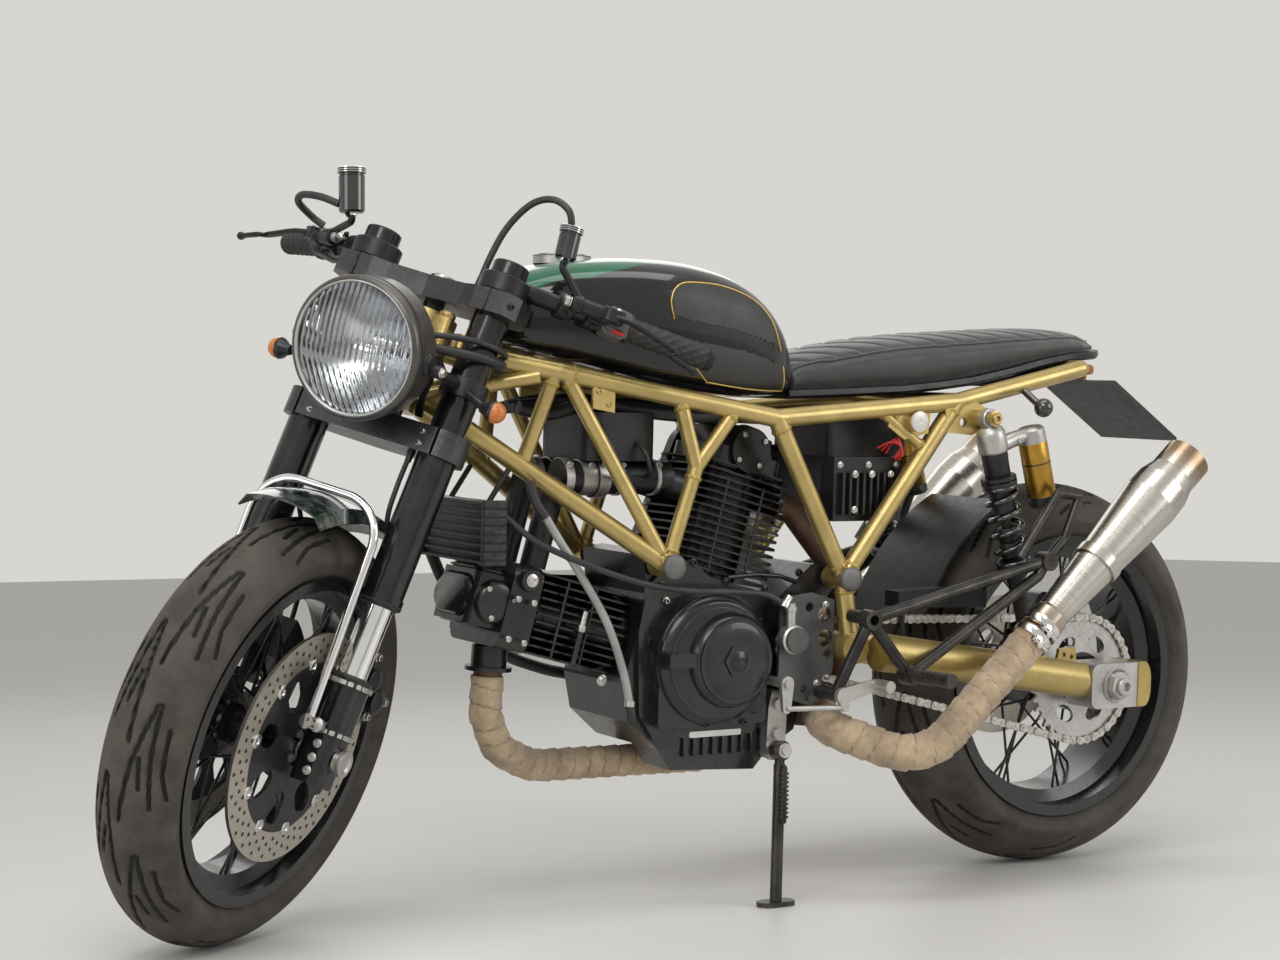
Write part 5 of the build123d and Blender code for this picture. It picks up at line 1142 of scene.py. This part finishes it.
key = Shape(bike)
key.spin((377, 146, 732), Y, [(-4, 15), (-1, 16), (1.5, 16), (2.2, 14.4), (2.2, 4), (1.2, 3.4)], 40)
key.make("key_lock", "root", key_face, 40)

# Swingarm ends: rounded gold caps, stepped axle nuts and the adjuster screws.
arm_ends, axle_nuts = Shape(bike), Shape(bike)
for side in (1, -1):
    outline = []
    for k in range(13):
        turn = radians(90 + 15 * k)
        outline.append((-62 + 14 * cos(turn), 314 + 36.5 * sin(turn)))
    outline += [(-46, 277.5), (-46, 350.5)]
    arm_ends.prism(outline, -33, 33, lambda u, v, w, side=side: (u, side * (165 + w), v), 2)
    at = Vector((0, side * 196, 315))
    axle_nuts.spin(at, side * Y, [(0, 27.5), (3, 28), (5, 27)], 48)
    axle_nuts.spin(at, side * Y, [(5, 22), (15, 22), (17, 20)], 6)
    axle_nuts.spin(at, side * Y, [(16, 15.5), (23, 15.5), (25, 13.5), (25, 7.6), (12, 7.2)], 36)
    axle_nuts.spin((-76, side * 165, 314), -X, [(-3, 7), (2, 7), (3, 5.5), (3, 3), (10, 3), (10.5, 2)], 12)
arm_ends.make("arm_caps", "root", gold_rear, 40)
axle_nuts.make("axle_nuts", "root", cast_silver, 35)

# Handlebars: clamp rings, bars, master cylinders, levers, switches and reservoirs.
bar_start = Vector((fork_offset - 16, 126, upper_clamp_top + 22))
bar_end = Vector((-156, 350, upper_clamp_top + 38))
perch = bar_end - (bar_end - bar_start).normalized() * 168
bars, levers, blocks, buttons, reds, sleeves, cups, cup_rings, brights = (Shape(fork) for _ in range(9))
up = Z
plumb = (fork.to_3x3().inverted() @ up).normalized()
blade_sides, grip_length, sleeve_steps = 14, 122, 84


def add_bar(side, start, end, run):
    """The clamp ring on the fork tube, the tube's plug, and the bar with its end weight."""
    leg = Vector((fork_offset, side * leg_y, upper_clamp_top))
    bars.spin(leg, up, [(1, 26.3), (1, 33), (3, 35), (26, 35), (28, 33), (28, 26.3)], 48)
    bars.slab(leg + Vector((-32, side * 12, 15)), (1, 0.6 * side, 0), up, 34, 24, -9, 9, 4)
    bars.bolt(leg + Vector((-38, side * 2, 15)), -side * Y, 4, 4)
    bars.spin(leg, up, [(28, 25), (47, 25.2), (49, 23), (49, 12), (47, 10)], 40)
    bars.rod(start - run * 8, end, 11, 24)
    bars.spin(end, run, [(-2, 11), (2, 17.6), (8, 17.6), (11, 15), (12, 8), (12, 1)], 28)


def add_master(clamp, body, run, ahead):
    """The perch's two rings, and the master cylinder ahead of the bar."""
    for centre, width in ((clamp - run * 3, 26), (clamp - run * 46, 24)):
        bars.spin(centre - run * width / 2, run, [(0, 15), (1.5, 17.5), (width - 1.5, 17.5), (width, 15)],
            32)
        for lift in (15, -15):
            bars.bolt(centre + ahead * 14 + up * lift * 0.9, ahead, 3.4, 4)
    bars.slab(clamp + ahead * 17 - run * 4, run, up, 22, 26, -9, 9, 4)
    barrel = [(0, 8), (2, 12.5), (14, 13), (16, 11), (44, 11), (46, 13.5), (58, 13.5), (60, 10)]
    bars.spin(body - run * 34, run, barrel, 28)
    bars.slab(body + run * 28 + ahead * 4, run, ahead, 30, 26, -9, 9, 7)
    brights.bolt(body + run * 32 + ahead * 8 + up * 9, up, 4.4, 4, 54)
    brights.bolt(body - run * 36, -run, 6, 9)
    brights.spin(body - run * 36, -run, [(2, 8), (8, 8), (9, 6)], 20)


def add_lever(body, run, ahead, tip):
    """A flat blade that tapers out to a ball at its tip."""
    bend = (body + run * 100 + ahead * 22).lerp(tip, 0.35) - up * 6
    blade = smooth_loop([body + run * 30 + ahead * 8, body + run * 58 + ahead * 22 - up * 4, bend,
        body.lerp(tip, 0.74) + ahead * 6, tip], 40, False)
    rows, last = [], len(blade) - 1
    for index, point in enumerate(blade):
        way = (blade[min(index + 1, last)] - blade[max(index - 1, 0)]).normalized()
        across = way.cross(up).normalized()
        share = index / last
        wide, tall = 8.5 - 3.6 * share, 4.6 - 1.2 * share
        if share > 0.93:
            ball = sqrt(max(0.05, 1 - ((share - 0.965) / 0.035) ** 2))
            wide, tall = 7 * ball, 6.5 * ball
        turns = [2 * pi * k / blade_sides for k in range(blade_sides)]
        rows.append([point + across * wide * cos(turn) + up * tall * sin(turn) for turn in turns])
    levers.rings(rows)


def ribbed(length, angle):
    """The grip's radius: crossed ridges that fade at both ends, and a collar."""
    a, b = angle * 8, length * 2 * pi / 17
    ridge = max(abs(sin((a + b) / 2)), abs(sin((a - b) / 2)) * 0.9)
    edge = min(1.0, length / 6, (grip_length + 4 - length) / 5)
    return 15.6 + 2.1 * ridge**3 * max(0.0, edge) + (5 if length < 5 else 0)


def add_switches(side, switch, run, ahead):
    """The switch block, which is black on the right, with its buttons."""
    block = blocks if side > 0 else bars
    block.slab(switch, run, up, 38, 40, -19, 20, 8, 2)
    block.slab(switch - run * 2 + ahead * 2, run, up, 30, 30, -24, 24, 6, 2)
    face = switch - ahead * 21
    for shift, lift, size in ((-9, 11, 5), (8, 10, 4.4), (-8, -12, 5)):
        buttons.spin(face + run * shift + up * lift, -ahead, [(-1, size), (3, size), (4, size * 0.7)], 20)
    out = ahead * 22 if side > 0 else -ahead * 20
    reds.slab(switch + out - up * 13 + run * 4, run, up, 18, 8, -4, 4, 2, 0.8)
    if side > 0:
        blocks.bolt(switch + up * 19.5, up, 3, 2.5)


def add_cup(cup, lean, tall, grow, body, run, ahead):
    """A reservoir with a ringed lid, and the hose down to its cylinder."""
    profile = [(-tall, 6), (-tall, 13 * grow), (-tall + 3, 15.4 * grow), (tall - 8, 15.6 * grow)]
    profile += [(tall - 7, 14.8 * grow), (tall - 5, 14.8 * grow), (tall - 4, 16.6 * grow),
        (tall + 4, 16.6 * grow)]
    cups.spin(cup, lean, profile + [(tall + 5, 15 * grow)], 48)
    for low in (tall - 3, tall, tall + 3):
        ring = [(low, 16.4), (low + 0.3, 17), (low + 1, 17), (low + 1.3, 16.4)]
        cup_rings.spin(cup, lean, [(along, reach * grow) for along, reach in ring], 48)
    cup_rings.spin(cup, lean, [(-tall - 4, 4), (-tall - 3.4, 7), (-tall + 0.6, 7), (-tall + 1, 4)], 20)
    drop = [cup - lean * (tall - 2), cup - lean * (tall + 12), body - run * 22 + lean * 6]
    bars.tube(smooth_path(drop, [6], 3), 5.4, 14)
    bars.bolt(cup - lean * (tall + 4) + ahead * 6, ahead, 3.6, 4)


for side, tip, cup, upright, tall, grow in (
    (1, (-106, 366, upper_clamp_top + 2), (18, 170, 1086), 0.35, 21, 1.0),
    (-1, (-78, -392, upper_clamp_top + 8), (47, -164, 1072), 1.0, 30, 1.22),
):
    start, end, clamp = aside((bar_start, bar_end, perch), side)
    run = (end - start).normalized()
    ahead = (run.cross(up) * side).normalized()
    body = clamp + ahead * 30 - run * 12 + up * 2
    add_bar(side, start, end, run)
    add_master(clamp, body, run, ahead)
    add_lever(body, run, ahead, Vector(tip))
    reach = [
        end - run * grip_length + run * (grip_length + 4) * k / sleeve_steps
        for k in range(sleeve_steps + 1)
    ]
    sleeves.tube(reach, ribbed, sleeve_steps)
    add_switches(side, end - run * 140, run, ahead)
    add_cup(Vector(cup), up.lerp(plumb, upright).normalized(), tall, grow, body, run, ahead)
bars.make("clip_on_bars", "steering", satin_black, 38, ("handlebars",))
levers.make("lever_blades", "steering", satin_black, 50, ("handlebars",))
blocks.make("switch_block", "steering", grey_plastic, 38, ("handlebars",))
buttons.make("switch_buttons", "steering", rubber, 38)
reds.make("switch_reds", "steering", red_wire, 38)
sleeves.make("grip_sleeves", "steering", rubber, 40, ("grips",))
cups.make("fluid_cups", "steering", gloss_black, 38, ("handlebars",))
cup_rings.make("cup_rings", "steering", chrome, 38)
brights.make("lever_screws", "steering", bolt_steel, 38)

# Hoses on the steering: two brake lines and a line to each reservoir.
lines = Shape(fork)
for side in (1, -1):
    lines.curve(aside([(36, 71, lower_clamp_z), (38, 71, 690), (28, 72, 640), (-30, 72, 590),
        (-66, 71, 540), (-82, 71, 490), (-84, 71, 456.5)], side), 60, 3.6, 10)
lines.curve([(14, 62, upper_clamp_top), (13, 62, 1040), (16, 72, 1090), (24, 98, 1128), (30, 130, 1140),
    (28, 158, 1130), (18, 168, 1106)], 60, 5, 12)
lines.curve([(47, -176, 1050), (52, -206, 1052), (44, -240, 1050), (20, -256, 1044), (-8, -244, 1036),
    (-18, -226, 1030)], 60, 5.4, 12)
lines.make("steering_lines", "steering", hose_rubber, 60, ("steer_hoses",))
unions = Shape(fork)
for side in (1, -1):
    unions.spin((-84, side * 71, 448), Z, [(0, 5), (1, 6.6), (9, 6.6), (10, 5), (26, 4.6), (27, 3.6)], 12)
    unions.spin((36, side * 71, lower_clamp_z), -Z, [(-1, 6), (5, 6), (6, 5), (16, 4.6)], 6)
unions.spin((14, 62, upper_clamp_top), Z, [(0, 8), (6, 8), (7, 6.2), (22, 5.8), (23, 5)], 12)
unions.make("line_unions", "steering", bolt_black, 38)

# Clamps: pinch bolts, the stem nut and the split lines.
clamps_black, clamps_bright = Shape(fork), Shape(fork)
for side in (1, -1):
    for lift in (10, 27):
        clamps_bright.bolt((fork_offset + 35, side * (leg_y - 16), lower_clamp_z + lift),
            (1, -side * 0.4, 0), 4.2, 4, 54)
    for shift in (-26, 12):
        clamps_bright.bolt((56 - 4 * abs(shift) / 26, side * 40 + shift * 0.5, lower_clamp_z + 20),
            (1, 0.35 * side, 0), 3.6, 3, 54)
    clamps_black.bolt((fork_offset + 30, side * (leg_y + 36), upper_clamp_top - 16), (0.3, side, 0), 4, 4,
        54)
    clamps_black.slab((fork_offset + 30, side * (leg_y + 2), upper_clamp_top - 32), X, Y, 24, 2.4, -0.2,
        32.4, 0.6, 0.2)
    clamps_bright.spin((fork_offset, side * leg_y, upper_clamp_top + 46), Z, [(2, 9), (3.6, 8.6), (3.6, 5)],
        6)
clamps_bright.spin((0, 0, upper_clamp_top), Z, [(1, 19), (4, 20), (10, 20), (12, 18), (12, 10), (9, 9)], 12)
clamps_bright.make("clamp_bolts", "steering", bolt_steel, 35)
clamps_black.make("clamp_slots", "steering", bolt_black, 35)

# Behind the lamp: brass boxes, a pierced bracket, a bundle of wires and the lamp bolts.
boxes, wires, plates, lamp_bolts = Shape(fork), Shape(fork), Shape(fork), Shape(fork)
for side in (1, -1):
    boxes.slab((50, side * 53, 876), X, Y, 30, 28, -1, 55, 6, 1.5)
    boxes.spin((50, side * 53, 930), Z, [(0, 11), (2, 12), (8, 12), (10, 10), (10, 3)], 24)
    boxes.spin((34, side * 80, 888), Z, [(0, 8), (1, 9), (9, 9), (10, 8), (11, 9), (19, 9), (20, 8),
        (21, 9), (30, 9), (31, 6)], 24)
    plates.slab((20, side * 74, 905), (1, 0, 0.3), Z, 62, 24, -2, 0, 8, 0.4)
    for shift in (-20, 0, 20):
        plates.spin((20 + shift, side * 74, 906 + shift * 0.28), side * Y,
            [(-3.4, 6), (3.2, 6), (3.2, 4), (-3.4, 4)], 24)
    lamp_bolts.bolt((122, side * 115, 842), side * Y, 6, 6)
    lamp_bolts.bolt((fork_offset + 33, side * 104, 847), X, 4, 4)
    for k in range(5):
        sway = 6 * sin(2.1 * k)
        wires.curve(aside([(112, 24 + 9 * k, 850 + sway), (84, 38 + 7 * k, 866 + 2 * k),
            (58, 34 + 4 * k, 874), (34, 46 + 3 * k, 862 - 3 * k), (12, 30 + 4 * k, 842 - 4 * k),
            (-8, 34 + 2 * k, 800)], side), 40, 2.2 + 0.35 * (k % 3), 8)
boxes.make("relay_boxes", "steering", brass, 38)
plates.make("pierced_plates", "steering", ring_silver, 38)
for side in (1, -1):
    wires.curve(aside([(112, 62, 872), (78, 104, 884), (50, 134, 892), (14, 140, 898), (-26, 118, 902),
        (-52, 84, 896)], side), 40, 6.4, 12)
    wires.curve(aside([(112, 50, 886), (80, 96, 904), (48, 130, 912), (12, 139, 913), (-22, 116, 912),
        (-46, 80, 900)], side), 40, 4.2, 10)
    wires.curve(aside([(104, 40, 858), (90, 60, 846), (78, 70, 856), (64, 66, 876)], side), 20, 3, 8)
wires.make("lamp_wires", "steering", hose_rubber, 60)
lamp_bolts.make("lamp_bolts", "steering", bolt_steel, 38)

# Front indicators' rims and stems.
stems = Shape(fork)
for side in (1, -1):
    stems.spin((52, side * 176, 825), (0.1, -side, 0.05), [(2, 15.2), (4, 15.8), (9, 14), (15, 9), (22, 7)],
        28)
stems.make("indicator_stems", "steering", satin_black, 40)

# Fork feet: silver bands, pinch bolts and axle ends; seals on the black tubes.
foot_silver, foot_black = Shape(fork), Shape(fork)
foot_high, tube_low = axle_rise + 109, axle_rise + 216
for side in (1, -1):
    for low, high in ((foot_high - 11, foot_high - 4), (axle_rise + 29, axle_rise + 36)):
        foot_silver.slab((fork_offset, side * (leg_y + 1), low), X, Y, 65.5, 59.5, 0, high - low, 23, 0.8)
    for lift in (-24, -6, 14):
        foot_silver.bolt((fork_offset + 29, side * (leg_y + 4), axle_rise + lift), X, 4.6, 5, 54)
    foot_silver.spin((fork_offset, side * (leg_y + 33), axle_rise), side * Y,
        [(0, 17), (3, 18.6), (7, 18.6), (8, 12), (5, 9)], 36)
    foot_black.spin((fork_offset, side * leg_y, tube_low), Z,
        [(-3, 22), (-2, 27), (2, 30.4), (4, 30.6), (6, 28.4)], 48)
    foot_black.spin((fork_offset, side * leg_y, foot_high), Z, [(0, 27), (3, 26), (5, 22.4), (5, 21.2)], 40)
    foot_silver.spin((fork_offset + 43, side * leg_y, axle_rise + 36), X,
        [(-6, 10), (2, 10), (3, 8), (3, 4)], 24)
foot_silver.make("foot_bands", "steering", cast_silver, 38)
foot_black.make("fork_seals", "steering", rubber, 38)

# Calipers: ribs across the joined halves, piston covers and bolts.
def disc_place(reach, turn):
    """A point of the front disc's plane as (x, z), and the way out from the axle."""
    c, s = cos(radians(turn)), sin(radians(turn))
    return fork_offset + reach * c, axle_rise + reach * s, Vector((c, 0, s))


caliper_parts, caliper_bolts = Shape(fork), Shape(fork)
for side in (1, -1):
    for turn in (116, 128, 140):
        x, z, out = disc_place(172, turn)
        caliper_parts.slab((x, side * 67, z), out.cross(Y), Y, 14, 56, -3, 5, 3, 1)
    for turn in (113, 143):
        for reach in (120, 166):
            x, z, _ = disc_place(reach, turn)
            caliper_bolts.bolt((x, side * 98, z), side * Y, 5, 6, 54)
    for turn in (120, 136):
        x, z, _ = disc_place(138, turn)
        caliper_parts.spin((x, side * 104, z), side * Y, [(0, 17.6), (2, 18), (4, 15), (4, 9), (2.5, 8)], 32)
    caliper_bolts.bolt((-72, side * 76, axle_rise + 130), Z, 5, 5)
caliper_parts.make("caliper_ribs", "steering", satin_black, 38)
caliper_bolts.make("caliper_bolts", "steering", bolt_steel, 38)

# Front discs: pairs of drilled holes, each drawn as a thin black disc of painted shade on the face, and the
# bobbins that carry the ring.
hole_shade_discs, bobbins = Shape(front_wheel), Shape(front_wheel)
for side in (1, -1):
    for turn in range(10):
        angle = 2 * pi * turn / 10 + 0.1
        bobbins.spin((117 * cos(angle), 117 * sin(angle), side * 69.3), side * Z,
            [(-1, 9.5), (1.6, 9.5), (2.4, 8.4), (2.4, 5), (0.8, 4.4)], 24)
    # Painted shade: each hole is a thin black disc on the face that stands for the hole.
    for turn in range(60):
        angle = 2 * pi * turn / 60
        for reach in ((128, 143) if turn % 2 else (135.5, 152)):
            hole_shade_discs.spin((reach * cos(angle), reach * sin(angle), side * 69.5), side * Z,
                [(-0.3, 3), (0.25, 3), (0.1, 0.2)], 10)
hole_shade_discs.make("disc_hole_shade", "front_wheel", rubber, 35)
bobbins.make("disc_bobbins", "front_wheel", bright_steel, 38)

# Alternator cover: soft castings over the stepped rings.
case_half = 190 / 2
covers = Shape(bike)
covers.spin((724, case_half + 22, 378), Y, [(0, 97), (3, 96.6), (7, 94), (11, 89.6), (13.6, 83), (14.6, 74),
    (14.6, 60)], 96)
covers.spin((705, case_half + 36, 379), Y, [(0, 71), (3, 70.6), (7, 68.6), (11, 66.2), (15, 63), (18.4, 56),
    (20, 46), (20.8, 32), (21, 24)], 96)
covers.slab((784, case_half + 20, 382), X, Z, 84, 36, 0, 31, 16, 10)
covers.slab((742, case_half + 12, 318), (1, 0, 0.1), Z, 132, 60, 0, 22, 24, 12)
covers.slab((650, case_half + 4, 350), (0.2, 0, 1), X, 120, 36, 0, 22, 16, 9)
covers.make("cover_castings", "root", black_cast, 55)

# Heads: bolted side plates, round caps, a nose cover, and posts between the fins.
caps, cap_bolts, posts = Shape(bike), Shape(bike), Shape(bike)
along_way, up_way = Vector((cos(tilt), 0, sin(tilt))), Vector((-sin(tilt), 0, cos(tilt)))
for side in (1, -1):
    face = side * Y
    caps.slab(engine_point(326, side * 74, -16), along_way, up_way, 42, 74, 0, 12, 14, 4)
    for u, v in ((-13, -30), (13, -30), (13, 28), (-13, 28)):
        cap_bolts.bolt(engine_point(326 + u, side * 86, -16 + v), face, 3.4, 3.4)
    caps.spin(engine_point(324, side * 74, 42), face, [(0, 17), (8, 16.6), (10, 15), (10, 9)], 40)
    cap_bolts.bolt(engine_point(324, side * 84, 42), face, 7, 3, 54)
    caps.spin(engine_point(362, side * 58, 0), face, [(0, 32), (8, 31.4), (13, 28), (15, 22), (15, 10)], 48)
    for turn in (40, 160, 280):
        cap_bolts.bolt(engine_point(362 + 24 * cos(radians(turn)), side * 72, 24 * sin(radians(turn))),
            face, 3, 3.2)
    for along in (214, 262):
        posts.rod(engine_point(along, side * 80, -56), engine_point(along, side * 80, 56), 2.2, 10)
    for along in (-30, 36):
        posts.rod(engine_point(along, side * 78.5, 118 + 6), engine_point(along, side * 74, 118 + 150), 2.2,
            10)
    posts.rod(engine_point(226, side * 84, -62), engine_point(226, side * 84, -10), 4.6, 14)
    cap_bolts.spin(engine_point(226, side * 84, -10), up_way,
        [(0, 6), (2, 7), (9, 7), (10, 5), (30, 4.6), (30, 3)], 20)
    caps.slab(engine_point(8, side * 72, 318), along_way, up_way, 60, 58, 0, 4, 26, 2)
    for turn in (45, 135, 225, 315):
        cap_bolts.bolt(engine_point(8 + 27 * cos(radians(turn)), side * 76, 318 + 27 * sin(radians(turn))),
            face, 3, 3)
for lift, way in ((38, up_way), (-38, -up_way)):
    caps.slab(engine_point(362, 0, lift), along_way, Y, 62, 112, -2, 9, 24, 7)
caps.slab(engine_point(394, 0, 0), Y, up_way, 96, 62, -2, 7, 22, 5)
caps.slab(engine_point(4, 0, 343), along_way, Y, 92, 88, -2, 10, 30, 7)
caps.make("head_caps", "root", black_cast, 50)
cap_bolts.make("head_bolts", "root", bolt_steel, 38)
posts.make("fin_posts", "root", fin_black, 50)

# Oil cooler core, and ribs on its end tanks.
core = Shape(bike)
core.slab((1086, 0, 526), X, Y, 20, 190, 0, 84, 2, 0.5)
for side in (1, -1):
    for k in range(7):
        core.slab((1086, side * 100, 530 + 12 * k), X, Y, 37, 15, 0, 6, 5, 1.5)
core.make("cooler_core", "root", cooler_black, 38)

# Throttle bodies: silver barrels, clamp bands and their screws.
bands = Shape(bike)
for side in (1, -1):
    for x, width, reach in ((955, 15, 29), (925, 30, 26.4), (900, 20, 30), (862, 8, 27), (800, 8, 27)):
        bands.spin((x, side * 44, 643), -X, [(0, reach - 3), (1, reach), (width - 1, reach),
            (width, reach - 3)], 48)
        bands.bolt((x - width / 2, side * (44 + reach * 0.8), 643 + reach * 0.7), side * Y, 3.4, 6)
bands.make("throttle_bands", "root", cast_silver, 38)

# Hoses: a pale breather and its ends, the clutch line, the right cooler line, four runs
# under the tank and two short ones beside the throttle bodies.
soft, clear, ends = Shape(bike), Shape(bike), Shape(bike)
clear.curve([(1004, 100, 590), (985, 104, 560), (950, 106, 510), (905, 108, 440), (878, 112, 370),
    (866, 114, 320)], 60, 6, 16)
soft.curve([(1030, 98, 640), (1020, 98, 612), (1004, 100, 590)], 20, 7, 14)
soft.curve([(866, 114, 320), (862, 114, 300), (854, 104, 290), (846, 90, 290)], 24, 7, 14)
soft.curve([(1060, 86, 590), (1020, 104, 556), (950, 124, 524), (870, 135, 498), (790, 138, 484),
    (710, 140, 480), (650, 141, 474), (618, 142, 458)], 70, 4.6, 12)
soft.curve([(1086, -106, 548), (1070, -128, 530), (1030, -134, 460), (960, -132, 380), (880, -132, 345),
    (812, -128, 330), (800, -100, 330), (800, -84, 330)], 60, 9, 16)
for k in range(4):
    soft.curve([(1010, -30 + 18 * k, 742), (960, -40 + 22 * k, 752 - 6 * k),
        (900, -44 + 26 * k, 757 - 3 * k), (820, -40 + 25 * k, 752 - 4 * k),
        (720, -50 + 30 * k, 748 - 5 * k), (600, -44 + 26 * k, 746 - 4 * k)], 50, 7 + (k % 2) * 3, 12)
soft.curve([(905, 76, 720), (898, 96, 690), (886, 96, 660), (876, 80, 640)], 30, 5, 12)
soft.curve([(842, 70, 700), (836, 92, 680), (828, 92, 655), (820, 70, 645)], 30, 3.6, 10)
ends.spin((618, 142, 458), (0.6, 0, -0.8), [(-16, 4.8), (-15, 6.6), (-5, 6.6), (-3, 8), (4, 8), (5, 5)], 20)
ends.spin((866, 114, 322), -Z, [(-3, 6.4), (-3, 7.6), (5, 7.6), (5, 6.4)], 24)
soft.make("soft_hoses", "root", hose_rubber, 60, ("hoses",))
clear.make("pale_breather", "root", pale_hose, 60, ("hoses",))
ends.make("hose_ends", "root", bolt_steel, 38)

# Regulator: red leads and screws.
leads, screws = Shape(bike), Shape(bike)
for k in range(3):
    leads.curve([(424 - 8 * k, 104, 690 - 4 * k), (414 - 6 * k, 124, 700 + 3 * k),
        (396, 126 + 2 * k, 692 - 5 * k), (404 - 4 * k, 122, 676), (386, 112, 672)], 30, 1.8, 8)
for x in (386, 440, 494):
    screws.bolt((x, 103, 664), Y, 4, 4, 54)
leads.make("regulator_leads", "root", red_wire, 60)
screws.make("regulator_screws", "root", bolt_steel, 38)

# Camera, floor and lights.
bpy.context.scene.view_settings.view_transform = "Standard"
yaw, climb, roll = radians(-121.97), radians(0.55), radians(-0.25)
camera_data = bpy.data.cameras.new("camera")
camera_data.lens, camera_data.sensor_width = 65.64, 36
camera = bpy.data.objects.new("camera", camera_data)
bpy.context.scene.collection.objects.link(camera)
camera.location = (2.6305 - 0.67279, 2.9889 - 0.00366, 0.5985)
heading = Vector((cos(yaw) * cos(climb), sin(yaw) * cos(climb), sin(climb)))
camera.rotation_mode = "QUATERNION"
camera.rotation_quaternion = heading.to_track_quat("-Z", "Y") @ Matrix.Rotation(roll, 3, "Z").to_quaternion()
bpy.context.scene.camera = camera

floor_finish = Finish("pale_floor")
floor_finish.colour(floor_finish.noise(2.5, 3), (0.74, 0.73, 0.71), (0.78, 0.77, 0.75))
floor_finish.put("Roughness", 0.42)
bpy.ops.mesh.primitive_plane_add(size=30, location=(0, 0, -0.0005))
floor = bpy.context.object
floor.name = "floor"
floor.data.materials.append(floor_finish.mat)

world = bpy.data.worlds.new("studio")
bpy.context.scene.world = world
world.use_nodes = True
tree = world.node_tree
back = tree.nodes["Background"]
back.inputs["Color"].default_value = (0.70, 0.685, 0.65, 1)
rays = tree.nodes.new("ShaderNodeLightPath").outputs
seen = rays["Is Camera Ray"]
for ray in ("Is Glossy Ray", "Is Transmission Ray"):
    add = tree.nodes.new("ShaderNodeMath")
    add.operation, add.use_clamp = "ADD", True
    tree.links.new(seen, add.inputs[0])
    tree.links.new(rays[ray], add.inputs[1])
    seen = add.outputs[0]
level = tree.nodes.new("ShaderNodeMapRange")
tree.links.new(seen, level.inputs["Value"])
level.inputs["To Min"].default_value, level.inputs["To Max"].default_value = 0.45, 0.98
tree.links.new(level.outputs[0], back.inputs["Strength"])

for name, where, size, power in (
    ("key", (2.2, 2.6, 3.2), (2.4, 1.6), 66), ("fill", (-2.6, 3.0, 1.8), (2.0, 2.0), 40),
    ("top", (0.2, 0.6, 3.4), (3.2, 1.2), 34), ("rim", (-1.2, -2.8, 2.4), (2.6, 1.4), 14),
    ("low", (3.2, 0.6, 0.9), (1.2, 1.6), 14),
):
    lamp_data = bpy.data.lights.new(name, "AREA")
    lamp_data.shape, lamp_data.size, lamp_data.size_y, lamp_data.energy = "RECTANGLE", *size, power
    lamp = bpy.data.objects.new(name, lamp_data)
    bpy.context.scene.collection.objects.link(lamp)
    lamp.location = where
    lamp.rotation_mode = "QUATERNION"
    lamp.rotation_quaternion = (Vector((0.1, 0, 0.45)) - Vector(where)).to_track_quat("-Z", "Y")
